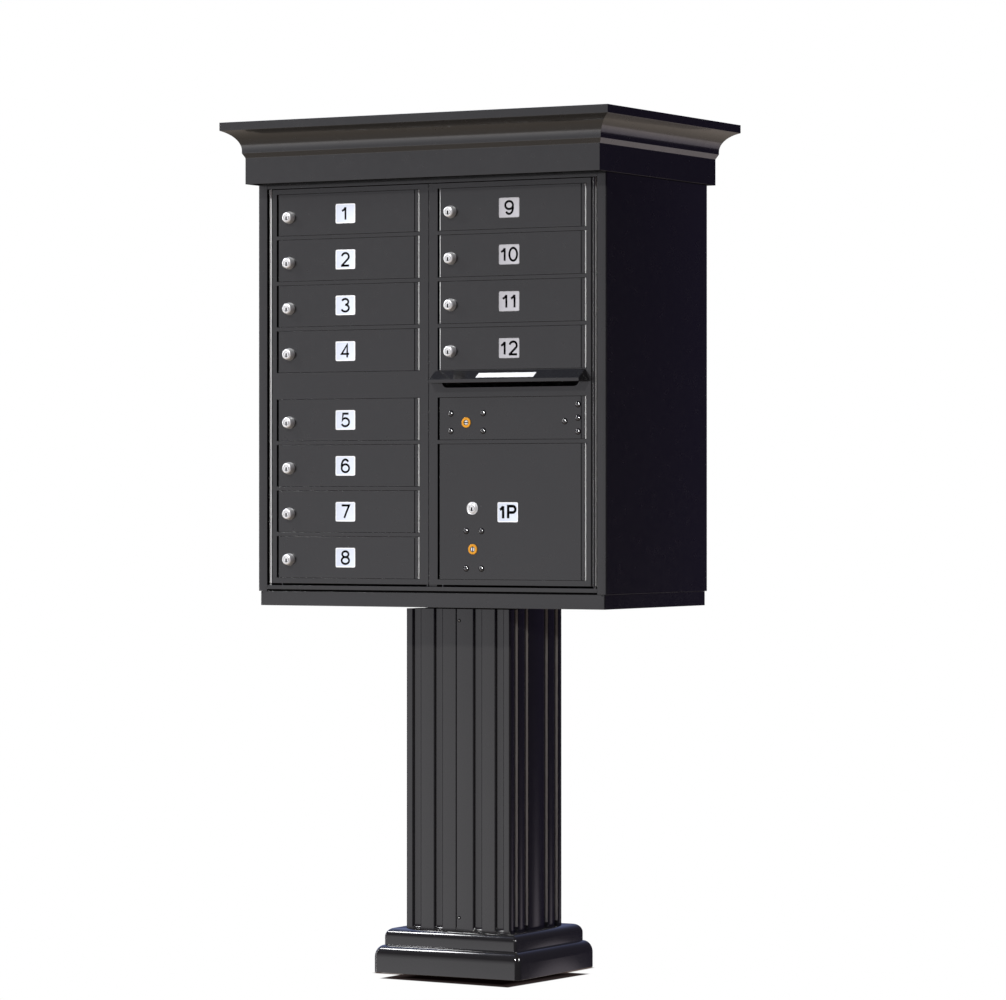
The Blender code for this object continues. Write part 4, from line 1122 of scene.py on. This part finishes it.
def add_ribbon(bm, line, half, near, far, material_index):
    """A stroke of constant width along a centre-line, as a thin solid."""
    loop = (Vector(line[0]) - Vector(line[-1])).length < half * 0.01
    points = [Vector(point) for point in (line[:-1] if loop else line)]
    count = len(points)
    rails = []
    for index, point in enumerate(points):
        before = points[index - 1] if loop or index > 0 else None
        after = points[(index + 1) % count] if loop or index < count - 1 else None
        directions = [(point - before).normalized()] if before is not None else []
        if after is not None:
            directions.append((after - point).normalized())
        along = sum(directions, Vector((0.0, 0.0))).normalized()
        normal = Vector((-along.y, along.x))
        first = Vector((-directions[0].y, directions[0].x))
        mitre = half / max(0.5, normal.dot(first))
        rails.append((point + normal * mitre, point - normal * mitre))
    corners = []
    for left, right in rails:
        corners.append([bm.verts.new((p.x, y, p.y)) for p, y in
                        ((left, near), (right, near), (right, far), (left, far))])
    pairs = list(zip(corners, corners[1:]))
    faces = []
    if loop:
        pairs.append((corners[-1], corners[0]))
    else:
        faces += [bm.faces.new(corners[0]), bm.faces.new(corners[-1])]
    for lower, upper in pairs:
        for index in range(4):
            following = (index + 1) % 4
            ring = (lower[index], lower[following], upper[following], upper[index])
            faces.append(bm.faces.new(ring))
    for face in faces:
        face.material_index = material_index


def add_text(bm, text, middle, size, weight, surface):
    """Numerals centred on a point of the label, standing a little proud of its surface."""
    half = size * weight / 2
    width = size * DIGIT_WIDTH
    spacing = size * DIGIT_SPACING
    widths = [width * (ONE_WIDTH if character == "1" else 1.0) for character in text]
    left = middle[0] - (sum(widths) + spacing * (len(text) - 1)) / 2
    if text == "1":
        left -= widths[0] * ONE_SHIFT
    for character, cell in zip(text, widths):
        for lift, stroke in enumerate(glyph_strokes(character)):
            line = []
            for u, v in stroke:
                x = left + half + (cell - 2 * half) * u
                line.append((x, middle[1] - size / 2 + half + (size - 2 * half) * v))
            proud = INK_THICKNESS * (1 + 0.1 * lift)
            add_ribbon(bm, line, half, surface - proud, surface + INK_THICKNESS / 2, 2)
        left += cell + spacing


def make_label(name, body, middle, text, face_material, weight):
    """Rounded label with a pale margin, a printed field and its number."""
    half_x, half_z = LABEL_SIZE[0] / 2, LABEL_SIZE[1] / 2
    surface = FACE - LABEL_THICKNESS
    bm = bmesh.new()
    rings = []
    outlines = (
        (0.0, FACE - LABEL_SUNK), (0.0, surface + LABEL_EDGE_ROUND), (LABEL_EDGE_ROUND, surface),
        (LABEL_MARGIN, surface), (LABEL_MARGIN + LABEL_EDGE_ROUND, surface + FIELD_DROP),
    )
    for inset, y in outlines:
        radius = max(LABEL_LEAST_RADIUS, LABEL_RADIUS - inset)
        outline = rounded_rectangle(half_x - inset, half_z - inset, radius)
        rings.append([(middle[0] + x, y, middle[1] + z) for x, z in outline])
    add_loft(bm, rings)
    bm.faces.ensure_lookup_table()
    bm.faces[1].material_index = 1
    add_text(bm, text, middle, DIGIT_HEIGHT, weight, surface + FIELD_DROP)
    rim = LABEL_EDGE if face_material is LABEL_WHITE else LABEL_RIM
    label = make_object(name, bm, rim, face_material, INK)
    return seat(label, body, "label_face" if face_material is LABEL_WHITE else "label_grey")


def make_labels():
    for number in TENANTS:
        low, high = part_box(f"tenant_door_{number}")
        middle = (low.x + LABEL_FROM_PLATE, (low.z + high.z) / 2 - LABEL_BELOW_CENTRE)
        left_column = number in LEFT_TENANTS
        face = LABEL_WHITE if left_column else LABEL_SILVER
        weight = LEFT_WEIGHT if left_column else RIGHT_WEIGHT
        make_label(f"label_{number}", f"tenant_{number}", middle, str(number), face, weight)
    lock = joint_place("parcel_tenant_lock_turn")
    middle = (lock.x + PARCEL_LABEL[0], lock.z + PARCEL_LABEL[1])
    make_label("label_parcel", "parcel", middle, "1P", LABEL_WHITE, PARCEL_WEIGHT)


def make_hood_label():
    """Blank white label on the hood's slope."""
    low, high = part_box("mail_slot_hood")
    top, lip = Vector((0, high.y, high.z)), Vector((0, low.y, low.z + HOOD_LIP))
    left, right = low.x + 0.1115, low.x + 0.2370
    bm = bmesh.new()
    slope = (lip - top)
    normal = Vector((0, slope.z, -slope.y)).normalized()
    ends = []
    for x in (left, right):
        ring = []
        for share, lift in ((0.34, 0.0), (0.34, 0.0004), (0.86, 0.0004), (0.86, 0.0)):
            point = top + slope * share + normal * (lift + 0.00003)
            ring.append((x, point.y, point.z))
        ends.append(ring)
    add_loft(bm, ends)
    label = make_object("hood_label", bm, LABEL_EDGE)
    return seat(soften(label, 0.0001, 1), "master_right", "label_face")


# ---------------------------------------------------------------- pedestal

def flute_outline(half_width):
    """One flute's (along, inward) section round its centre, its lips and floor corners rounded."""
    lip, fillet, depth = FLUTE_LIP, FLUTE_FILLET, FLUTE_DEPTH
    left = arc((-half_width - lip, lip), lip, 270, 360, 4)
    left += arc((-half_width + fillet, depth - fillet), fillet, 180, 90, 3)
    return left + [(-x, y) for x, y in reversed(left)]


def fluted_face(centres, half_width, share):
    """Flutes of one face as (along, inward) points, sunk to a share of their full depth."""
    points = []
    for centre in sorted([-place for place in centres] + list(centres)):
        points += [(centre + x, y * share) for x, y in flute_outline(half_width)]
    return points


def inner_path(half_x, half_y, seam):
    """Inner side of the pillar's sheet: clear of every flute."""
    sunk = FLUTE_DEPTH + PILLAR_WALL
    return [
        (seam, -half_y + sunk), (-half_x + sunk, -half_y + sunk),
        (-half_x + sunk, half_y - sunk), (seam, half_y - sunk)]


def cover_path(half_x, half_y, seam, share):
    """Left half of the pillar's plan outline, front seam to back seam."""
    front = [point for point in fluted_face(FRONT_FLUTES, FRONT_FLUTE_HALF, share) if point[0] < 0]
    side = fluted_face(SIDE_FLUTES, SIDE_FLUTE_HALF, share)
    corner = (-half_x + PILLAR_CORNER, half_y - PILLAR_CORNER)
    lip = arc((seam - SEAM_LIP, SEAM_LIP), SEAM_LIP, 0, -90, 4)
    path = [(along, -half_y + inward) for along, inward in lip]
    path += [(along, -half_y + inward) for along, inward in reversed(front)]
    path += arc((corner[0], -corner[1]), PILLAR_CORNER, 270, 180, 6)
    path += [(-half_x + inward, along) for along, inward in side]
    path += arc(corner, PILLAR_CORNER, 180, 90, 6)
    path += [(along, half_y - inward) for along, inward in front]
    path += [(along, half_y - inward) for along, inward in reversed(lip)]
    return path


def make_pillar():
    """Fluted half shells; each flute runs out in a scoop just above the base."""
    low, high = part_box("pillar_cover_left")
    half_x, half_y = -low.x, high.y
    foot, full = (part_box("pillar_base_trim")[1].z + rise for rise in FLUTE_FOOT)
    levels = [(low.z, 0.0)]
    for step in range(FOOT_STEPS + 1):
        angle = math.pi / 2 * step / FOOT_STEPS
        levels.append((foot + (full - foot) * (1 - math.cos(angle)), math.sin(angle)))
    levels.append((high.z, 1.0))
    for side, name in ((-1, "left"), (1, "right")):
        seam = side * PILLAR_SEAM - SEAM_HALF_GAP
        rings = []
        for z, share in levels:
            outline = cover_path(half_x, half_y, seam, share)
            outline += reversed(inner_path(half_x, half_y, seam))
            rings.append([(-side * x, y, z) for x, y in outline])
        bm = bmesh.new()
        add_loft(bm, rings)
        cover = make_object(f"pillar_shell_{name}", bm, PAINT_GLOSS, FLUTE_WALL_PAINTED_LIGHT)
        # Painted light: forward-facing walls in the side flutes take the pale paint
        for polygon in cover.data.polygons:
            x, y, z = polygon.center
            inside = half_x - FLUTE_DEPTH - EDGE < abs(x) < half_x - EDGE
            sunk = inside and abs(y) < half_y - 2 * PILLAR_CORNER
            if sunk and polygon.normal.y < -0.6 and z > full:
                polygon.material_index = 1
        seat(cover, "cabinet", "powder_coat", f"pillar_cover_{name}")


def make_base():
    """Two-tier moulded skirt round the pillar's foot."""
    low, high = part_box("pillar_base_trim")
    half_x, half_y = high.x, high.y

    def ring(inward, z):
        radius = max(BASE_CORNER - 0.35 * inward, PILLAR_CORNER / 2)
        return [(x, y, z) for x, y in rounded_rectangle(half_x - inward, half_y - inward, radius)]

    rings = [ring(0.0, low.z)]
    steps = 12
    for inward, rise, inward_end, top in BASE_TIERS:
        for step in range(steps + 1):
            angle = math.pi / 2 * step / steps
            across = inward + (inward_end - inward) * (1 - math.cos(angle))
            rings.append(ring(across, low.z + rise + (top - rise) * math.sin(angle)))
    bm = bmesh.new()
    add_loft(bm, rings)
    trim = make_object("base_skirt", bm, PAINT_GLOSS)
    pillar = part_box("pillar_cover_left")
    fit_x, fit_y = -pillar[0].x + BORE_GAP, pillar[1].y + BORE_GAP
    lower_top, upper_top = low.z + BASE_TIERS[0][3] - BASE_WALL, high.z - BASE_WALL
    step_in = BASE_TIERS[1][0] + BASE_WALL
    levels = [ring(BASE_WALL, low.z - BASE_WALL), ring(BASE_WALL, lower_top)]
    levels += [ring(step_in, lower_top), ring(step_in, upper_top)]
    for z in (upper_top, high.z + BASE_WALL):
        levels.append([(x, y, z) for x, y in rounded_rectangle(fit_x, fit_y, PILLAR_CORNER / 2)])
    hollow = bmesh.new()
    add_loft(hollow, levels)
    cut(trim, hollow)
    return seat(soften(trim, 0.0007, 3), "cabinet", "powder_coat", "pillar_base_trim")


def make_pillar_screws():
    """Bright pin-head screws in dark cups beside the front and back seams."""
    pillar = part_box("pillar_cover_left")
    head, cup = SCREW_RADII
    bm = bmesh.new()
    for side, front in ((1, pillar[0].y), (-1, pillar[1].y)):
        for z in SCREW_HEIGHTS:
            place = (SCREW_OUT * side, front + 0.00002 * side, z)
            rim = [(cup, 0.0), (cup, -0.0005 * side), (cup - 0.0005, -0.0009 * side), (head, -0.0004 * side)]
            pin = [(head, -0.0008 * side), (head * 0.7, -0.0013 * side), (head * 0.2, -0.0015 * side)]
            add_loft(bm, turned_rings(rim + pin, place, "Y", 20))
    screws = make_object("pillar_screws", bm, BLACK_AND_PAINTED_SHADE, BRIGHT_METAL_AND_HIGHLIGHT)
    for polygon in screws.data.polygons:
        offset = min(abs(polygon.center.z - z) for z in SCREW_HEIGHTS)
        across = abs(abs(polygon.center.x) - SCREW_OUT)
        outward = min(abs(polygon.center.y - pillar[0].y), abs(polygon.center.y - pillar[1].y))
        if math.hypot(offset, across) < head * 1.05 and outward > 0.0005:
            polygon.material_index = 1
    return seat(screws, "cabinet", "powder_coat")


# ---------------------------------------------------------------- carried-over CAD nodes

def finish_cad_nodes():
    """Better finishes, and softened edges, for the CAD nodes that stay."""
    finishes = {
        "cabinet_roof": PAINT, "front_frame": PAINT, "pedestal_post": POST_PAINT,
        "compartment_rack_left": RACK_METAL, "compartment_rack_right": RACK_METAL,
        "access_bolt": BOLT_STEEL, "parcel_carrier_bolt": BOLT_STEEL,
    }
    for name, material in finishes.items():
        node = frame["nodes"][name]
        if not node.material_slots:
            node.data.materials.append(material)
        for slot in node.material_slots:
            slot.material = material
        weld = node.modifiers.new("weld", "WELD")
        weld.merge_threshold = 0.00001
        soften(node, 0.0003)


# ---------------------------------------------------------------- studio

def direction(azimuth, elevation):
    """Unit vector towards a light; azimuth 0 is in front of the doors, positive to the right."""
    a, e = math.radians(azimuth), math.radians(elevation)
    return (math.sin(a) * math.cos(e), -math.cos(a) * math.cos(e), math.sin(e))


def smooth_step(tree, value, low, high):
    step = add_node(tree, "ShaderNodeMapRange", interpolation_type="SMOOTHSTEP")
    step.inputs["From Min"].default_value = low
    step.inputs["From Max"].default_value = high
    tree.links.new(value, step.inputs["Value"])
    return step.outputs["Result"]


def facing(tree, vector, towards):
    """Cosine of the angle from one direction."""
    dot = add_node(tree, "ShaderNodeVectorMath", operation="DOT_PRODUCT")
    dot.inputs[1].default_value = towards
    tree.links.new(vector, dot.inputs[0])
    return dot.outputs["Value"]


def added(tree, first, second):
    total = add_node(tree, "ShaderNodeVectorMath", operation="ADD")
    tree.links.new(first, total.inputs[0])
    tree.links.new(second, total.inputs[1])
    return total.outputs["Vector"]


def make_world():
    """White for the camera; for the rest a dark room, pale panels, warm floor and cool fill."""
    world = bpy.data.worlds.new("studio")
    world.use_nodes = True
    bpy.context.scene.world = world
    tree = world.node_tree
    tree.nodes.clear()
    vector = add_node(tree, "ShaderNodeTexCoord").outputs["Generated"]
    height = facing(tree, vector, (0, 0, 1))
    edge, core = (math.cos(math.radians(angle)) for angle in PANEL_SPREAD)
    panel = smooth_step(tree, facing(tree, vector, direction(*PANEL_PLACE)), edge, core)
    slope = math_node(tree, "MULTIPLY", height, PANEL_SLOPE)
    panel = math_node(tree, "MULTIPLY", panel, math_node(tree, "ADD", slope, 1.0))
    below = smooth_step(tree, height, *HORIZON)
    depth = math_node(tree, "MULTIPLY", height, FLOOR_SLOPE)
    below = math_node(tree, "MULTIPLY", below, math_node(tree, "ADD", depth, 1.0))
    clipped = math_node(tree, "MAXIMUM", facing(tree, vector, direction(*FILL_PLACE)), 0.0)
    fill = math_node(tree, "POWER", clipped, FILL_POWER)
    total = added(tree, tinted(tree, PANEL_COLOUR, panel), tinted(tree, FLOOR_COLOUR, below))
    total = added(tree, total, tinted(tree, FILL_COLOUR, fill))
    edge, core = (math.cos(math.radians(angle)) for angle in LOW_PANEL_SPREAD)
    low_panel = smooth_step(tree, facing(tree, vector, direction(*LOW_PANEL_PLACE)), edge, core)
    total = added(tree, total, tinted(tree, LOW_PANEL_COLOUR, low_panel))
    room = add_node(tree, "ShaderNodeVectorMath", operation="ADD")
    room.inputs[0].default_value = ROOM_COLOUR
    tree.links.new(total, room.inputs[1])
    studio = add_node(tree, "ShaderNodeBackground")
    tree.links.new(room.outputs["Vector"], studio.inputs["Color"])
    white = add_node(tree, "ShaderNodeBackground")
    white.inputs["Color"].default_value = (1, 1, 1, 1)
    path = add_node(tree, "ShaderNodeLightPath")
    mix = add_node(tree, "ShaderNodeMixShader")
    output = add_node(tree, "ShaderNodeOutputWorld")
    tree.links.new(path.outputs["Is Camera Ray"], mix.inputs["Fac"])
    tree.links.new(studio.outputs["Background"], mix.inputs[1])
    tree.links.new(white.outputs["Background"], mix.inputs[2])
    tree.links.new(mix.outputs["Shader"], output.inputs["Surface"])


def aim(item, target):
    towards = Vector(target) - item.location
    item.rotation_euler = towards.to_track_quat("-Z", "Y").to_euler()


def make_area_light(name, place, target, size, power, colour):
    light = bpy.data.lights.new(name, "AREA")
    light.shape = "RECTANGLE"
    light.size, light.size_y = size
    light.energy = power
    light.color = colour
    item = bpy.data.objects.new(name, light)
    bpy.context.scene.collection.objects.link(item)
    item.location = place
    aim(item, target)
    item.visible_camera = False


def make_sun(name, azimuth, elevation, energy, spread, colour):
    sun = bpy.data.lights.new(name, "SUN")
    sun.energy = energy
    sun.angle = math.radians(spread)
    sun.color = colour
    item = bpy.data.objects.new(name, sun)
    bpy.context.scene.collection.objects.link(item)
    item.location = Vector(direction(azimuth, elevation)) * 5.0
    aim(item, (0, 0, 0))


def link_light(name, pieces, state):
    """Keeps a lamp to the named pieces, or away from them."""
    receivers = bpy.data.collections.new(f"{name}_receivers")
    for piece in pieces:
        receivers.objects.link(bpy.data.objects[piece])
    for entry in receivers.collection_objects:
        entry.light_linking.link_state = state
    bpy.data.objects[name].light_linking.receiver_collection = receivers


def make_lights():
    """A front sun and a tall strip, and lamps kept to the base, bolt heads and pillar."""
    make_sun("front", *FRONT_SUN, (1.0, 0.99, 0.98))
    centre = Vector(LAMP_TARGET)
    strip = centre + Vector(direction(*STRIP_PLACE)) * STRIP_DISTANCE
    make_area_light("strip", strip, centre, *STRIP_LAMP, (1.0, 0.98, 0.95))
    make_area_light("streak", STREAK_PLACE, STREAK_TARGET, *STREAK_LAMP, NEUTRAL)
    glint = centre + Vector(direction(*GLINT_PLACE)) * GLINT_DISTANCE
    make_area_light("glint", glint, centre, *GLINT_LAMP, NEUTRAL)
    glint = centre + Vector(direction(*BOLT_GLINT_PLACE)) * GLINT_DISTANCE
    make_area_light("bolt_glint", glint, centre, *BOLT_GLINT_LAMP, NEUTRAL)
    make_sun("side", *SIDE_SUN, (1.0, 0.97, 0.95))
    shells = ["pillar_shell_left", "pillar_shell_right"]
    link_light("glint", ["base_skirt"], "INCLUDE")
    link_light("bolt_glint", ["access_bolt_heads", "parcel_bolt_heads"], "INCLUDE")
    link_light("side", shells, "INCLUDE")
    link_light("strip", shells, "EXCLUDE")


def mixed_colour(tree, share, first, second):
    blend = add_node(tree, "ShaderNodeMix", data_type="RGBA")
    blend.inputs["A"].default_value = first
    blend.inputs["B"].default_value = second
    tree.links.new(share, blend.inputs["Factor"])
    return blend.outputs["Result"]


def make_floor():
    """Pale floor that glows by itself; its shadow is painted, and shaped for the main camera."""
    material = bpy.data.materials.new("pale_floor")
    material.use_nodes = True
    tree = material.node_tree
    tree.nodes.clear()
    occlusion = add_node(tree, "ShaderNodeAmbientOcclusion", samples=16)
    occlusion.inputs["Distance"].default_value = CONTACT_DISTANCE
    occluded = smooth_step(tree, occlusion.outputs["AO"], 0.35, 0.90)
    place = add_node(tree, "ShaderNodeNewGeometry").outputs["Position"]
    depth = None
    for x, y, reach in SHADOW_SIDES:
        inside = math_node(tree, "SUBTRACT", reach, facing(tree, place, (x, y, 0.0)))
        depth = inside if depth is None else math_node(tree, "MINIMUM", depth, inside)
    shadow = smooth_step(tree, depth, 0.0, SHADOW_EDGE)
    core = smooth_step(tree, depth, 0.0, SHADOW_FADE)
    tone = mixed_colour(tree, core, SHADOW_OUTER, SHADOW_CORE)
    lit = math_node(tree, "SUBTRACT", 1.0, shadow)
    blend = add_node(tree, "ShaderNodeMix", data_type="RGBA")
    tree.links.new(tone, blend.inputs["A"])
    soft = mixed_colour(tree, occluded, CONTACT_TONE, (1, 1, 1, 1))
    tree.links.new(soft, blend.inputs["B"])
    tree.links.new(lit, blend.inputs["Factor"])
    glow = add_node(tree, "ShaderNodeEmission")
    tree.links.new(blend.outputs["Result"], glow.inputs["Color"])
    output = add_node(tree, "ShaderNodeOutputMaterial")
    tree.links.new(glow.outputs["Emission"], output.inputs["Surface"])
    bm = bmesh.new()
    corners = [(-1, -1), (1, -1), (1, 1), (-1, 1)]
    bm.faces.new([bm.verts.new((x * FLOOR_HALF, y * FLOOR_HALF, -0.0005)) for x, y in corners])
    floor = make_object("floor", bm, material)
    floor.visible_diffuse = False
    floor.visible_glossy = False
    floor.visible_shadow = False


def make_camera():
    camera = bpy.data.cameras.new("camera")
    camera.lens = CAMERA_LENS
    camera.sensor_fit = "HORIZONTAL"
    camera.sensor_width = CAMERA_SENSOR
    camera.shift_x = LENS_OFFSET[0] / IMAGE_WIDTH
    camera.shift_y = LENS_OFFSET[1] / IMAGE_WIDTH
    camera.clip_end = 200.0
    item = bpy.data.objects.new("camera", camera)
    item.location = CAMERA_PLACE
    item.rotation_euler = (math.pi / 2, 0, CAMERA_TURN)
    bpy.context.scene.collection.objects.link(item)
    bpy.context.scene.camera = item


def make_studio():
    make_world()
    make_lights()
    make_floor()
    make_camera()
    bpy.context.scene.view_settings.view_transform = "Standard"


make_wrap()
make_floor_pan()
make_skirt_seal()
make_crown()
make_masters()
make_tenant_doors()
make_edge_strips()
make_carrier_doors()
bolt_heads()
make_hood()
make_tenant_locks()
make_parcel_tenant_lock()
make_carrier_locks()
make_labels()
make_hood_label()
make_pillar()
make_base()
make_pillar_screws()
finish_cad_nodes()
make_studio()
